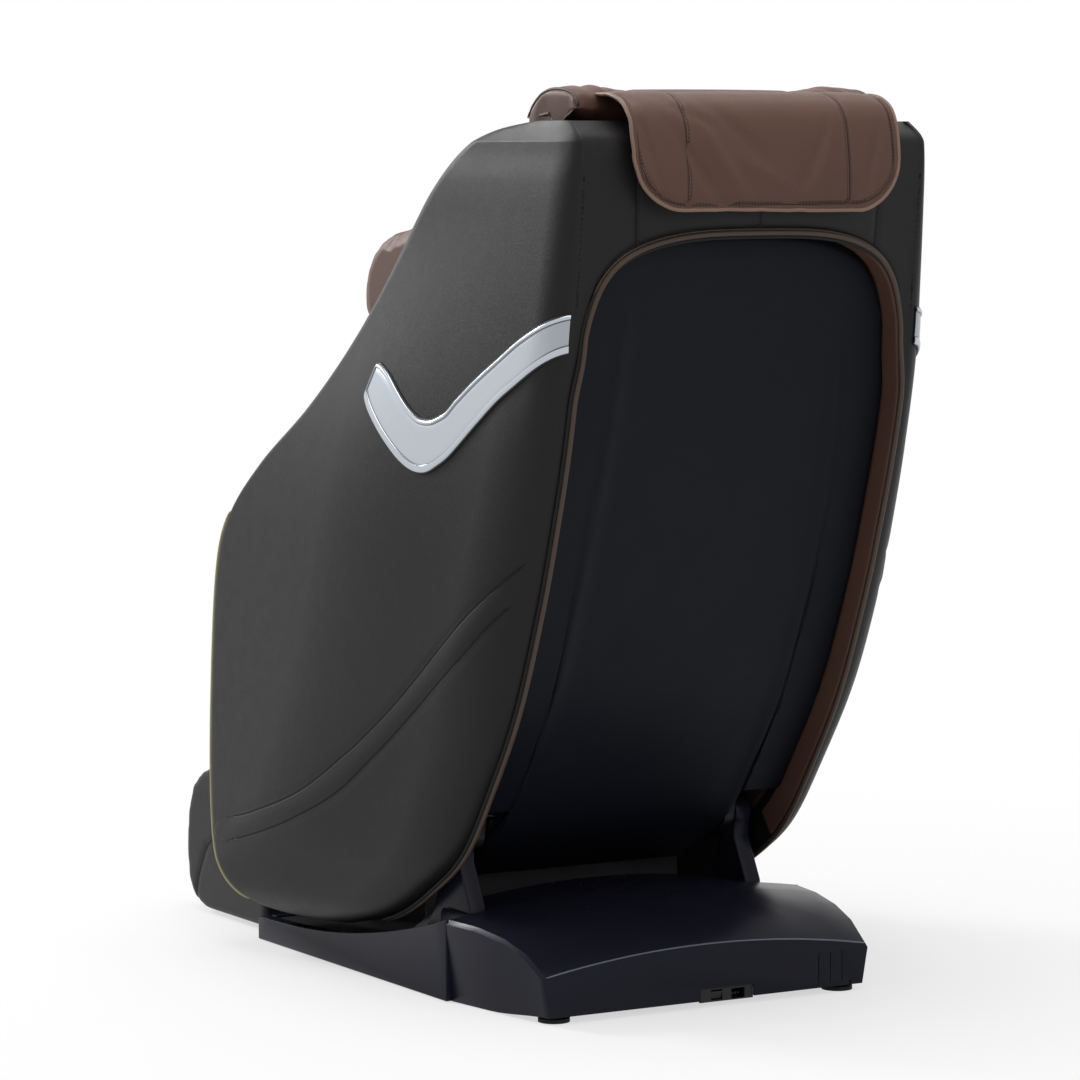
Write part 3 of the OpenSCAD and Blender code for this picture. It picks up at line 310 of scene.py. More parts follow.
def build_metal_group():
    """Metal: drawn lines, mottling and a little dulled handling."""
    net, given, sink = shader_group(
        "drawn_metal",
        [("Colour", "colour", (0.5, 0.5, 0.5, 1)), ("Gloss", "value", 0.3), ("Lines", "value", 0.5),
         ("Dulling", "value", 0.3)],
        [("Colour", "colour"), ("Roughness", "value"), ("Height", "value")])
    place = net.place()
    stretched = net.add("Mapping", {"Vector": place, "Scale": (1.0, 30.0, 30.0)}).outputs[0]
    lines = net.noise(40.0, 3.0, 0.6, stretched)
    mottle = net.noise(26.0, 4.0, 0.65, place)
    dull = net.times(net.span(mottle, 0.48, 0.7), given["Dulling"])
    light = net.minus(net.math("MULTIPLY_ADD", net.minus(lines, 0.5), 0.16, 1.0),
                     net.times(dull, 0.35))
    tone = net.lit(given["Colour"], light)
    rough = net.plus(net.plus(given["Gloss"], net.times(dull, 0.35)), net.swing(lines, 0.12))
    return net.give(sink, tone, rough, net.times(lines, given["Lines"]))


def build_band_group():
    """Painted shade on the silver band: a dark groove beside its border, a darker outer edge, and greyer
    towards its rear end.
    """
    net, given, sink = shader_group(
        "band_painted_shade", [("Groove", "value", 0.5), ("Rear Painted Shade", "value", 0.3)], [("Light", "value")])
    parts = net.add("SeparateXYZ", {0: net.add("Attribute", attribute_name="band").outputs["Vector"]}).outputs
    past = net.minus(parts[0], parts[1])
    # Painted shade in the groove inside the border.
    groove = net.times(net.span(past, -0.5, 0.4), net.span(past, 2.6, 1.0))
    # Painted shade along the outer edge of the border.
    lip = net.times(net.span(parts[0], 1.9, 0.4), 0.30)
    # Painted shade on the sunk face towards the band's rear end.
    rear = net.times(net.span(parts[2], 0.86, 1.0), net.span(past, 0.0, 1.5))
    dark = net.plus(net.times(groove, given["Groove"]), net.times(rear, given["Rear Painted Shade"]))
    dark = net.plus(dark, lip)
    return net.give(sink, net.minus(1.0, dark))


GROUPS = {}


def group(name):
    """Node group by name, built the first time it is asked for."""
    if name not in GROUPS:
        builders = {"seam_and_thread": build_stitch_group, "leather_skin": build_leather_group,
                    "moulded_plastic": build_plastic_group, "drawn_metal": build_metal_group,
                    "band_painted_shade": build_band_group}
        GROUPS[name] = builders[name]()
    return GROUPS[name]


def finish_of(name, skin, values, bump, metallic=0.0, coat=0.0, specular=0.5, band=False):
    """Material made of one surface group and a Principled shader."""
    material = bpy.data.materials.new(name)
    material.use_nodes = True
    tree = material.node_tree
    tree.nodes.clear()
    net = Net(tree)
    surface = net.add("Group")
    surface.node_tree = group(skin)
    for key, value in values.items():
        surface.inputs[key].default_value = value
    relief = net.add("Bump", {"Height": surface.outputs["Height"], "Distance": bump, "Strength": 1.0})
    colour = surface.outputs["Colour"]
    # Painted shade of the silver band, multiplied into its colour.
    if band:
        shading = net.add("Group")
        shading.node_tree = group("band_painted_shade")
        colour = net.lit(colour, shading.outputs["Light"])
    shader = net.add("BsdfPrincipled", {
        "Base Color": colour, "Roughness": surface.outputs["Roughness"],
        "Normal": relief.outputs["Normal"], "Metallic": metallic, "Coat Weight": coat,
        "Coat Roughness": 0.3, "Specular IOR Level": specular})
    net.surface(shader, "Material")
    material.diffuse_color = values.get("Colour", (0.5, 0.5, 0.5, 1))
    return material


FINISHES = {}


def make_finishes(scene):
    """All finishes of the chair, by the name of the record's material slot they stand for."""
    hide, silver, base = scene.chair_leather, scene.chair_trim, scene.chair_base
    grain = 1.0 / hide.grain_size

    def leather(name, colour, thread, patch=0.10, gloss=0.46, bump=0.0009, scale=grain, specular=0.3):
        FINISHES[name] = finish_of(name, "leather_skin", {
            "Colour": tuple(colour), "Thread": thread, "Grain Scale": scale, "Patch": patch,
            "Gloss": gloss}, bump, specular=specular)

    def plastic(name, colour, gloss, texture=0.5, scuffs=0.3, bump=0.0003, coat=0.0, specular=0.5):
        FINISHES[name] = finish_of(name, "moulded_plastic", {
            "Colour": tuple(colour), "Gloss": gloss, "Texture": texture, "Scuffs": scuffs}, bump,
            coat=coat, specular=specular)

    def metal(name, colour, gloss, lines, dulling, metallic=1.0, band=False):
        FINISHES[name] = finish_of(name, "drawn_metal", {
            "Colour": colour, "Gloss": gloss, "Lines": lines, "Dulling": dulling}, 0.0003, metallic,
            band=band)

    leather("black_leather", hide.side_colour, srgb(30, 28, 28), 0.10, 0.42, specular=0.17)
    leather("brown_leather", hide.brown_colour, srgb(38, 26, 22), 0.16, 0.42, specular=0.2)
    leather("welt_leather", hide.welt_colour, srgb(60, 45, 38), 0.12, 0.44, specular=0.26)
    leather("binding_leather", srgb(132, 106, 92), srgb(80, 60, 50), 0.12, 0.40, specular=0.3)
    leather("grey_piping", hide.piping_colour, srgb(150, 148, 146), 0.06, 0.42)
    leather("cover_panel", hide.panel_colour, srgb(20, 21, 26), 0.14, 0.50, 0.0006, grain * 1.3, 0.12)
    plastic("base_plastic", base.plastic_colour, 0.26, 0.3, 0.15, specular=0.10)
    # Painted highlight: a lighter copy of the base plastic for the bead on the rear crest.
    plastic("base_crest", srgb(84, 90, 104), 0.22, 0.2, 0.1)
    plastic("black_plastic", srgb(20, 20, 23), 0.45, 0.8, 0.3, specular=0.3)
    plastic("button_plastic", srgb(206, 206, 208), 0.25, 0.15, 0.1)
    plastic("rubber", srgb(22, 22, 23), 0.78, 1.4, 0.4, specular=0.3)
    plastic("grey_plastic", srgb(66, 68, 72), 0.52, 1.0, 0.4)
    plastic("roller_plastic", srgb(112, 80, 62), 0.40, 0.5, 0.4)
    plastic("board", srgb(52, 44, 36), 0.75, 1.6, 0.9, specular=0.2)
    # The silver band takes painted shade in its groove, along its edge and towards its rear end.
    metal("silver_trim", tuple(silver.silver_colour), 0.24, 0.06, 0.08, 0.9, True)
    metal("frame_steel", srgb(24, 25, 28), 0.50, 0.3, 0.5, 0.2)
    metal("dark_steel", srgb(30, 31, 34), 0.44, 0.3, 0.5, 0.3)
    metal("bright_steel", srgb(190, 192, 196), 0.22, 0.7, 0.3)
    metal("arm_alloy", srgb(160, 162, 166), 0.34, 0.5, 0.4)


def coat_with(piece, slot, finish=None):
    """Gives a piece the finish of one material slot, or another finish within that slot."""
    piece.data.materials.clear()
    piece.data.materials.append(FINISHES[finish or slot])


# ------------------------------------------------------------------ modelling helpers
def deselect():
    """Object mode with nothing selected."""
    if bpy.context.mode != "OBJECT":
        bpy.ops.object.mode_set(mode="OBJECT")
    bpy.ops.object.select_all(action="DESELECT")


def take(piece):
    """Makes one piece the only selected and active object."""
    deselect()
    piece.select_set(True)
    bpy.context.view_layer.objects.active = piece


def apply_modifier(piece, kind, **settings):
    """Adds one modifier and applies it."""
    take(piece)
    modifier = piece.modifiers.new(kind.title(), kind)
    for key, value in settings.items():
        setattr(modifier, key, value)
    bpy.ops.object.modifier_apply(modifier=modifier.name)


def rename(piece, name):
    """Names a piece and its mesh."""
    piece.name = name
    piece.data.name = name
    return piece


def tidy_mesh(piece, merge=0.00002, close=False, flip=True):
    """Merges doubles, closes open ends and turns the faces outwards."""
    take(piece)
    bpy.ops.object.mode_set(mode="EDIT")
    bpy.ops.mesh.select_mode(type="VERT")
    bpy.ops.mesh.select_all(action="SELECT")
    bpy.ops.mesh.remove_doubles(threshold=merge)
    bpy.ops.mesh.delete_loose()
    if close:
        bpy.ops.mesh.select_all(action="SELECT")
        bpy.ops.mesh.fill_holes(sides=0)
    if flip:
        bpy.ops.mesh.select_all(action="SELECT")
        bpy.ops.mesh.normals_make_consistent(inside=False)
    bpy.ops.object.mode_set(mode="OBJECT")


def seal(piece, merge):
    """Merges doubles, then closes what is still open."""
    tidy_mesh(piece, merge=merge)
    tidy_mesh(piece, merge=merge, close=True)


def soften(piece, degrees=None):
    """Smooth shading, with edges kept where they are sharper than the angle."""
    take(piece)
    if degrees is None:
        bpy.ops.object.shade_smooth()
    else:
        bpy.ops.object.shade_smooth_by_angle(angle=math.radians(degrees))


def patch(name, columns, rows, point):
    """Grid bent into place: point turns shares across and along, 0 to 1, into millimetres."""
    deselect()
    bpy.ops.mesh.primitive_grid_add(x_subdivisions=columns, y_subdivisions=rows, size=1)
    piece = rename(bpy.context.object, name)
    for vertex in piece.data.vertices:
        vertex.co = Vector(point(vertex.co.x + 0.5, vertex.co.y + 0.5)) * MM
    return piece


def tube(name, course, step, radius, sides, side_of=Vector((1, 0, 0))):
    """Round cord on a smooth curve through a course in millimetres, closed at both ends."""
    points = smooth_path(course, step)
    last = len(points) - 1
    frames = []
    side = None
    for i, p in enumerate(points):
        along = (points[min(i + 1, last)] - points[max(i - 1, 0)]).normalized()
        side = side_of.cross(along) if side is None else side
        side = (side - along * side.dot(along)).normalized()
        frames.append((p, side, along.cross(side)))

    def ring(across, down):
        k = min(last, max(0, round(down * last)))
        p, a, b = frames[k]
        turn = 2 * math.pi * across
        ends = min(k, last - k)
        size = radius * (0.35 if ends == 0 else 0.85 if ends == 1 else 1.0)
        return p + (a * math.cos(turn) + b * math.sin(turn)) * size

    piece = patch(name, sides, last, ring)
    tidy_mesh(piece, merge=0.00001, close=True)
    soften(piece)
    return piece


def join(name, *pieces):
    """Joins pieces into the first one."""
    deselect()
    for piece in pieces:
        piece.select_set(True)
    bpy.context.view_layer.objects.active = pieces[0]
    bpy.ops.object.join()
    return rename(pieces[0], name)


def copy_of(node, name):
    """Merged copy of one CAD node, ready to be shaped."""
    piece = NODES[node].copy()
    piece.data = NODES[node].data.copy()
    for key in [k for k in piece.keys() if k.startswith("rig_")]:
        del piece[key]
    piece.parent = None
    bpy.context.scene.collection.objects.link(piece)
    rename(piece, name)
    for layer in [a.name for a in piece.data.attributes if a.name == "sharp_face"]:
        piece.data.attributes.remove(piece.data.attributes[layer])
    tidy_mesh(piece, flip=False)
    return piece


def mirrored(piece, name):
    """Own copy of a piece for the other side of the chair."""
    other = piece.copy()
    other.data = piece.data.copy()
    bpy.context.scene.collection.objects.link(other)
    rename(other, name)
    for vertex in other.data.vertices:
        vertex.co.x = -vertex.co.x
    other.data.flip_normals()
    seam = other.data.attributes.get("seam")
    if seam:
        for value in seam.data:
            value.vector[0] = -value.vector[0]
    return other


def settle(piece, slot, body, *stands_for, finish=None):
    """Finish, body and the CAD nodes that a piece stands for."""
    coat_with(piece, slot, finish)
    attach(piece, body)
    if stands_for:
        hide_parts(*stands_for)


def wall_tree(*pieces):
    """Search tree over the surfaces of some pieces."""
    points, faces = [], []
    for piece in pieces:
        start = len(points)
        points += [v.co.copy() for v in piece.data.vertices]
        faces += [tuple(start + i for i in p.vertices) for p in piece.data.polygons]
    return BVHTree.FromPolygons(points, faces)


# ------------------------------------------------------------------ curves and seams
def spline(points, share):
    """Point on a smooth curve through the points, at a share of its spans."""
    spans = len(points) - 1
    place = held(share) * spans
    k = min(int(place), spans - 1)
    t = place - k
    a, b, c, d = points[max(k - 1, 0)], points[k], points[k + 1], points[min(k + 2, spans)]
    return [0.5 * (2 * q + (r - p) * t + (2 * p - 5 * q + 4 * r - s) * t * t
                   + (3 * q - p - 3 * r + s) * t ** 3) for p, q, r, s in zip(a, b, c, d)]


def smooth_path(points, step):
    """Evenly spaced points, a step apart, on a smooth curve through the points."""
    fine = [Vector(spline(points, i / (len(points) * 24))) for i in range(len(points) * 24 + 1)]
    runs = [0.0]
    for a, b in zip(fine, fine[1:]):
        runs.append(runs[-1] + (b - a).length)
    count = max(2, round(runs[-1] / step))
    out, k = [], 0
    for i in range(count + 1):
        want = runs[-1] * i / count
        while k < len(runs) - 2 and runs[k + 1] < want:
            k += 1
        gap = runs[k + 1] - runs[k] or 1.0
        out.append(fine[k].lerp(fine[k + 1], (want - runs[k]) / gap))
    return out


class SeamLine:
    """Stitched seam: signed distance and length along it for any point, in metres."""

    def __init__(self, points, face, step=2.0):
        self.points = [p * MM for p in smooth_path(points, step)]
        self.face = Vector(face)
        self.tree = KDTree(len(self.points))
        for i, p in enumerate(self.points):
            self.tree.insert(p, i)
        self.tree.balance()
        self.step = step * MM

    def near(self, place):
        q, i, _ = self.tree.find(place)
        last = len(self.points) - 1
        along = (self.points[min(i + 1, last)] - self.points[max(i - 1, 0)]).normalized()
        gap = place - q
        ahead = gap.dot(along)
        across = gap - along * ahead
        over = max(0.0, abs(ahead) - self.step * 1.5) if i in (0, last) else 0.0
        side = 1.0 if across.cross(along).dot(self.face) >= 0 else -1.0
        return side * math.hypot(across.length, over), i * self.step + ahead


def mark_seams(piece, lines, reach):
    """Stores each point's distance from the nearest seam and run along it, and returns them."""
    stored = piece.data.attributes.new("seam", "FLOAT_VECTOR", "POINT")
    found = []
    for value, vertex in zip(stored.data, piece.data.vertices):
        best, run = 1.0, 0.0
        for line in lines:
            away, along = line.near(vertex.co)
            if abs(away) < abs(best):
                best, run = away, along
        value.vector = (best, run, 1.0 if abs(best) < reach else 0.0)
        found.append((best, run))
    return found


def sew(piece, lines, depth, width, pucker, reach=0.014):
    """Pulls the surface in along seams and stores the seam values for the finish."""
    normals = [v.normal.copy() for v in piece.data.vertices]
    marks = mark_seams(piece, lines, reach)
    for vertex, normal, (away, run) in zip(piece.data.vertices, normals, marks):
        if abs(away) < 4 * width:
            ripple = 1.0 + pucker * math.sin(run * 330.0 + 2.0 * math.sin(run * 61.0))
            vertex.co -= normal * depth * ripple * math.exp(-(away / width) ** 2)


def pinch(piece, hold=None):
    """Draws the sides of the arch in by a few millimetres where it springs; hold is the x that stays."""
    for vertex in piece.data.vertices:
        x, z = abs(vertex.co.x) / MM, vertex.co.z / MM
        share = ease((z - 765) / 75) * ease((968 - z) / 90) * ease((x - 150) / 60)
        if hold:
            share *= 1 - ease((x - hold) / 5)
        vertex.co.x -= math.copysign(8.0 * MM * share, vertex.co.x)


class Table:
    """Smooth value over a table of pairs, held at its ends."""

    def __init__(self, pairs):
        kept = [pairs[0]]
        for pair in pairs[1:]:
            if pair[0] > kept[-1][0] + 1e-6:
                kept.append(pair)
        self.xs, self.ys = [p[0] for p in kept], [p[1] for p in kept]
        last = len(kept) - 1
        self.slopes = [(self.ys[min(i + 1, last)] - self.ys[max(i - 1, 0)])
                       / (self.xs[min(i + 1, last)] - self.xs[max(i - 1, 0)]) for i in range(last + 1)]

    def __call__(self, x):
        if x <= self.xs[0]:
            return self.ys[0]
        if x >= self.xs[-1]:
            return self.ys[-1]
        k = bisect.bisect_right(self.xs, x) - 1
        gap = self.xs[k + 1] - self.xs[k]
        t = (x - self.xs[k]) / gap
        return (self.ys[k] * (1 + 2 * t) * (1 - t) ** 2 + self.slopes[k] * gap * t * (1 - t) ** 2
                + self.ys[k + 1] * t * t * (3 - 2 * t) - self.slopes[k + 1] * gap * t * t * (1 - t))


def held(x):
    """Value held to 0 to 1."""
    return min(max(x, 0.0), 1.0)


def ease(x):
    """Smooth step from 0 to 1."""
    x = held(x)
    return x * x * (3 - 2 * x)


def round_in(x):
    """Quarter round from 0 to 1."""
    return math.sqrt(1 - (1 - held(x)) ** 2)


def signed_power(x, power):
    """Power of a number that keeps its sign."""
    return math.copysign(abs(x) ** power, x)


# ------------------------------------------------------------------ shape of the leather body
CHAIR_TOP, ARM_Z, ROLL, HALF_IN, ARM_THICK, REAR_THICK = 1150.0, 592.0, 38.0, 243.0, 100.0, 45.0
SHELL_TOP = CHAIR_TOP - ROLL
RISE = (SHELL_TOP - ARM_Z) / 0.932
BOARD_IN = HALF_IN - 9
LEAN = math.radians(15)
BACK_Y, BACK_Z = 150.0, 420.0


def up(share):
    """Height above the arms, as a share of the rise from the arms to the top."""
    return ARM_Z + share * RISE


FRONT_EDGE = [(-150, 52), (-240, 62), (-292, 115), (-309, 190), (-308, 330), (-290, 510),
              (-254, ARM_Z), (-171, up(.134)), (-54, up(.280)), (46, up(.457)), (150, up(.702)),
              (206, up(.803)), (263, up(.874)), (327, up(.912)), (420, up(.932))]
REAR_RIM = [(-60, 56), (60, 88), (150, 133), (232, 190), (300, 280), (365, 385), (420, 515),
            (452, up(.032)), (480, up(.203)), (500, up(.373)), (516, up(.597)), (527, up(.780)),
            (531, up(.866)), (526, up(.901)), (500, up(.932))]
rim_y = Table(sorted((p[1], p[0]) for p in (spline(REAR_RIM, i / 240) for i in range(241))))
rim_place = Table([(spline(REAR_RIM, i / 240)[1], i / 4) for i in range(241)])
front_y = Table(sorted((p[1], p[0]) for p in (spline(FRONT_EDGE, i / 240) for i in range(32, 241))))
rear_extra = Table([(150, -3), (300, 3), (420, 9), (540, 9), (700, 3), (800, -4), (900, -10), (990, -16),
                    (1040, -20), (1075, -25), (1112, -28)])
EDGE = 4.0
FRONT_ROUND, REAR_ROWS = 32.0, 120.0
TOP_BEVEL, TOP_BEVEL_HIGH = 0.78, 25.0


def rim(place):
    """Rear rim at a place from 0 to 60: y, z."""
    return spline(REAR_RIM, place / 60)


def rim_normal(place):
    """Outward direction of the rear rim at a place."""
    (ay, az), (by, bz) = rim(place - 0.5), rim(place + 0.5)
    length = math.hypot(by - ay, bz - az) or 1.0
    return (bz - az) / length, -(by - ay) / length


def rim_inset(place, depth):
    """Point at a depth inside the rear rim."""
    (y, z), (ny, nz) = rim(place), rim_normal(place)
    return y - ny * depth, z - nz * depth


def shell_depth(y, z):
    """How far a side shell stands out from its inner face."""
    rear = REAR_THICK + rear_extra(z)
    front = ARM_THICK - (ARM_THICK - rear - 8) * ease((z - 560) / 440)
    return rear + (front - rear) * ease((rim_y(z) - y) / 420)


def shell_out(y, z, from_front, from_rear, from_end=1.0):
    """Outer surface of a left shell; its rear rounding is tighter beside the yoke."""
    upper = ease((z - 700) / 160)
    rounding = ((1 - upper) * round_in(from_rear / 95)
                + upper * (0.74 * round_in(from_rear / 42) + 0.26 * round_in(from_rear / 170)))
    deep = (shell_depth(y, z) - EDGE) * round_in(from_front / FRONT_ROUND) * rounding
    return HALF_IN + EDGE + deep * from_end


def foot_round(down):
    """Rounding of the lower end of a side shell."""
    return round_in((down + 0.006) * 9)


def shell_steps():
    """Where the columns of a side shell lie: distance from the front, from the rear, or inside."""
    steps = [("front", FRONT_ROUND * (i / 14) ** 1.8) for i in range(14)]
    steps += [("middle", i / 104) for i in range(105)]
    steps += [("rear", REAR_ROWS * (1 - i / 32) ** 1.8) for i in range(1, 33)]
    steps += [("inside", i / 9) for i in range(10)]
    return steps


def shell_row(down):
    """Row across a side shell: its front point, its direction to the rear rim and its length."""
    front, rear = spline(FRONT_EDGE, down), spline(REAR_RIM, down)
    span = math.hypot(rear[0] - front[0], rear[1] - front[1])
    return front, ((rear[0] - front[0]) / span, (rear[1] - front[1]) / span), span


def shell_point(steps, across, down):
    """Point of a left side shell in millimetres."""
    kind, value = steps[round(across * (len(steps) - 1))]
    front, (dy, dz), span = shell_row(down)
    tight = min(1.0, span / 160)
    if kind == "inside":
        away = span * (1 - value)
        return HALF_IN, front[0] + dy * away, front[1] + dz * away
    if kind == "front":
        away = value * tight
    elif kind == "rear":
        away = span - value * tight
    else:
        away = FRONT_ROUND * tight + (span - (FRONT_ROUND + REAR_ROWS) * tight) * value
    y, z = front[0] + dy * away, front[1] + dz * away
    x = shell_out(y, z, away / tight, (span - away) / tight, foot_round(down))
    x -= (x - HALF_IN - EDGE) * TOP_BEVEL * held((z - SHELL_TOP) / TOP_BEVEL_HIGH + 1)
    return x, y, z


def side_seams(sign):
    """The two long seams that sweep across a side shell."""
    upper = [(-290, 170), (-194, 190), (-138, 206), (-86, 223), (-37, 243), (10, 268), (57, 296),
             (103, 324), (195, 388), (286, 461), (330, 496), (368, 525), (400, 549), (424, 568)]
    lower = [(-285, 139), (-196, 159), (-143, 174), (-92, 191), (-44, 210), (2, 230), (48, 254),
             (95, 285), (189, 350), (282, 419), (325, 452), (361, 483), (400, 516)]
    lines = []
    for seam in (upper, lower[::-1]):
        points = [(sign * shell_out(y, z, y - front_y(z), rim_y(z) - y), y, z) for y, z in seam]
        lines.append(SeamLine(points, (sign, 0, 0)))
    return lines


# ------------------------------------------------------------------ side shells, yoke, cover and rim
PUFF_WIDE, PUFF_HIGH = 0.036, 0.0010


def make_side_shells(scene):
    """Padded leather sides, with their two swept seams pulled in."""
    steps = shell_steps()
    piece = patch("side_leather_left", len(steps) - 1, 300,
                  lambda across, down: shell_point(steps, across, down))
    seal(piece, 0.00003)
    seams = side_seams(1)
    upper, lower = seams
    for vertex in piece.data.vertices:
        if vertex.co.x > (HALF_IN + 6) * MM:
            a, b = upper.near(vertex.co)[0], lower.near(vertex.co)[0]
            if a * b > 0 and abs(a) + abs(b) < PUFF_WIDE:
                vertex.co.x += PUFF_HIGH * math.sin(math.pi * abs(a) / (abs(a) + abs(b))) ** 0.5
    sew(piece, seams, scene.chair_leather.seam_depth * 0.7, 0.0055, 0.04, 0.0066)
    soften(piece, 50)
    settle(piece, "black_leather", "body", "side_shell_left")
    other = mirrored(piece, "side_leather_right")
    settle(other, "black_leather", "body", "side_shell_right")


ARCH_TOP = SHELL_TOP - 134
ARCH_SPRING = ARCH_TOP - 190
ARCH_POWER = 3.2
YOKE_CROWN, YOKE_TUCK, YOKE_BRIM, YOKE_DEEP = 20.0, 6.0, 8.0, 44.0


def arch_z(x, inset):
    """Height of the arch at one x, at a distance inside its edge."""
    half = HALF_IN - inset
    share = min(abs(x) / half, 1.0)
    rise = max(0.0, 1 - share ** ARCH_POWER) ** (1 / ARCH_POWER)
    return ARCH_SPRING + (ARCH_TOP - ARCH_SPRING - inset) * rise


def crown(x):
    """Outward bulge of the band, level with the sides at both ends."""
    return YOKE_CROWN * max(0.0, 1 - (x / HALF_IN) ** 2) ** 1.5


def across_arch(share, half):
    """X across the arch, closer together at its two ends."""
    return half * signed_power(math.sin(math.pi * (share - 0.5)), 2 / ARCH_POWER)


def make_yoke(scene):
    """Leather band above the back cover, with its middle seam and its two end seams."""
    half = HALF_IN + 3.2

    def ring(across, down):
        x = across_arch(down, half)
        bottom, top = arch_z(x, 0), SHELL_TOP
        if across <= 0.7:
            share = across / 0.7
            z = bottom + (top - bottom) * (1 - (1 - share) ** 1.35)
            tuck = YOKE_TUCK * (1 - held((z - bottom) / 12)) ** 2
            brim = YOKE_BRIM * held((z - top + 22) / 22) ** 2.2
            return x, rim_y(z) + crown(x) - tuck - brim, z
        share = (across - 0.7) / 0.3
        if share < 0.2:
            z, deep = top, share / 0.2
            outer = rim_y(top) + crown(x) - YOKE_BRIM
            inner = rim_y(top - 20) - YOKE_DEEP
            return x, outer + (min(inner, outer - 20) - outer) * deep, z
        if share > 0.8:
            z, deep = bottom, (share - 0.8) / 0.2
            outer = rim_y(bottom) + crown(x) - YOKE_TUCK
            inner = rim_y(bottom) - YOKE_DEEP
            return x, inner + (outer - inner) * deep, z
        z = top + (bottom - top) * (share - 0.2) / 0.6
        return x, min(rim_y(z), rim_y(top - 20)) - YOKE_DEEP, z

    piece = patch("yoke_leather", 70, 110, ring)
    seal(piece, 0.00003)

    def line(xs, zs):
        return [(x, rim_y(z) + crown(x), z) for x, z in zip(xs, zs)]
    tall = [arch_z(0, 0) + t * (SHELL_TOP - arch_z(0, 0)) / 8 for t in range(9)]
    seams = [SeamLine(line([2] * 9, tall), (0, 1, 0))]
    for x in (170, -178):
        low = arch_z(x, 0)
        zs = [low + t * (SHELL_TOP - low) / 10 for t in range(11)]
        seams.append(SeamLine(line([x + math.copysign(9, x) * (z - low) / 200 for z in zs], zs), (0, 1, 0)))
    sew(piece, seams, scene.chair_leather.seam_depth * 0.7, 0.004, 0.2)
    soften(piece, 45)
    pinch(piece, 240.5)
    settle(piece, "black_leather", "body", "rear_yoke")


RECESS, COVER_WALL, LINER = 30.0, 3.5, 6.0
RIM_LOW = 6.0
CORD_STEP, WELT_R, WELT_OUT, FLANGE_R, STRIP_R, STRIP_IN = 7.0, 3.3, 4.4, 1.3, 2.3, 4.9
PIPING_R, PIPING_IN = 2.5, 23.0


def make_back_cover(scene):
    """Vinyl back cover inside the rim: a shallow middle bay between two soft steps."""
    half = HALF_IN - LINER - 0.9
    notch = 175.0

    def face(across, down):
        x = across_arch(across, half)
        low = rim_place(207 + 14) if abs(x) > notch else RIM_LOW
        high = rim_place(arch_z(x, LINER + 1.0)) if abs(x) < half else rim_place(ARCH_SPRING)
        place = low + (high - low) * down
        z = rim(place)[1]
        sway = math.sin(z * 0.004)
        step = ease((abs(x) - 138 - 12 * sway) / 22)
        fade = ease((z - 120) / 240) * ease((ARCH_TOP - 30 - z) / 160)
        deep = 2.6 * (1 - step) * fade - 1.0
        ridge = 1.5 * math.exp(-((abs(x) - 163 - 10 * sway) / 7) ** 2) * fade
        border = min(half - abs(x), (high - place) * 24)
        if abs(x) <= notch:
            border = min(border, (place - low) * 24 + 2)
        deep += 4.5 * (1 - round_in(border / 9))
        folds = 0.55 * math.sin(z * 0.021 + x * 0.013) * math.sin(x * 0.034 + 1.3)
        folds += 0.8 * math.exp(-((x - 118 + (z - 300) * 0.05) / 26) ** 2) * math.sin(z * 0.045)
        y, height = rim_inset(place, RECESS + deep - ridge + folds * fade)
        return x, y, height

    piece = patch("back_cover_vinyl", 96, 190, face)
    tidy_mesh(piece, merge=0.00003)
    take(piece)
    if piece.data.polygons[len(piece.data.polygons) // 2].normal.y < 0:
        piece.data.flip_normals()
    apply_modifier(piece, "SOLIDIFY", thickness=COVER_WALL * MM, offset=-1.0)
    soften(piece, 60)
    pinch(piece)
    settle(piece, "cover_panel", "body", "back_cover")


def rim_course(inset, low_z, step=0.5, arch_steps=72):
    """Course round the inside of the rim: (x, place on the rim) from the left foot over the arch."""
    half = HALF_IN - inset
    low, spring = rim_place(low_z), rim_place(ARCH_SPRING)
    count = int((spring - low) / step)
    side = [(half, low + (spring - low) * i / count) for i in range(count)]
    over = []
    for i in range(arch_steps + 1):
        x = across_arch(1 - i / arch_steps, half)
        over.append((x, rim_place(arch_z(x, inset)) if abs(x) < half else spring))
    return side + over + [(-x, place) for x, place in reversed(side)]


def make_rim_liner(scene):
    """Brown leather lining of the rim, rolled over at its outer lip."""
    lips = [(0.3, 2.4), (1.6, 0.9), (3.4, 0.5), (5.0, 1.2), (5.8, 2.8), (6.0, 5.0), (6.0, 20.0),
            (6.0, 36.5), (0.3, 36.5), (0.3, 20.0)]
    courses = {inset: rim_course(inset, 172) for inset, _ in lips}
    count = len(courses[0.3]) - 1

    def ring(across, down):
        inset, depth = lips[round(across * len(lips)) % len(lips)]
        x, place = courses[inset][round(down * count)]
        y, z = rim_inset(place, depth)
        return x, y, z

    piece = patch("rim_lining", len(lips), count, ring)
    seal(piece, 0.00001)
    soften(piece, 50)
    pinch(piece)
    settle(piece, "brown_leather", "body", "rim_liner")


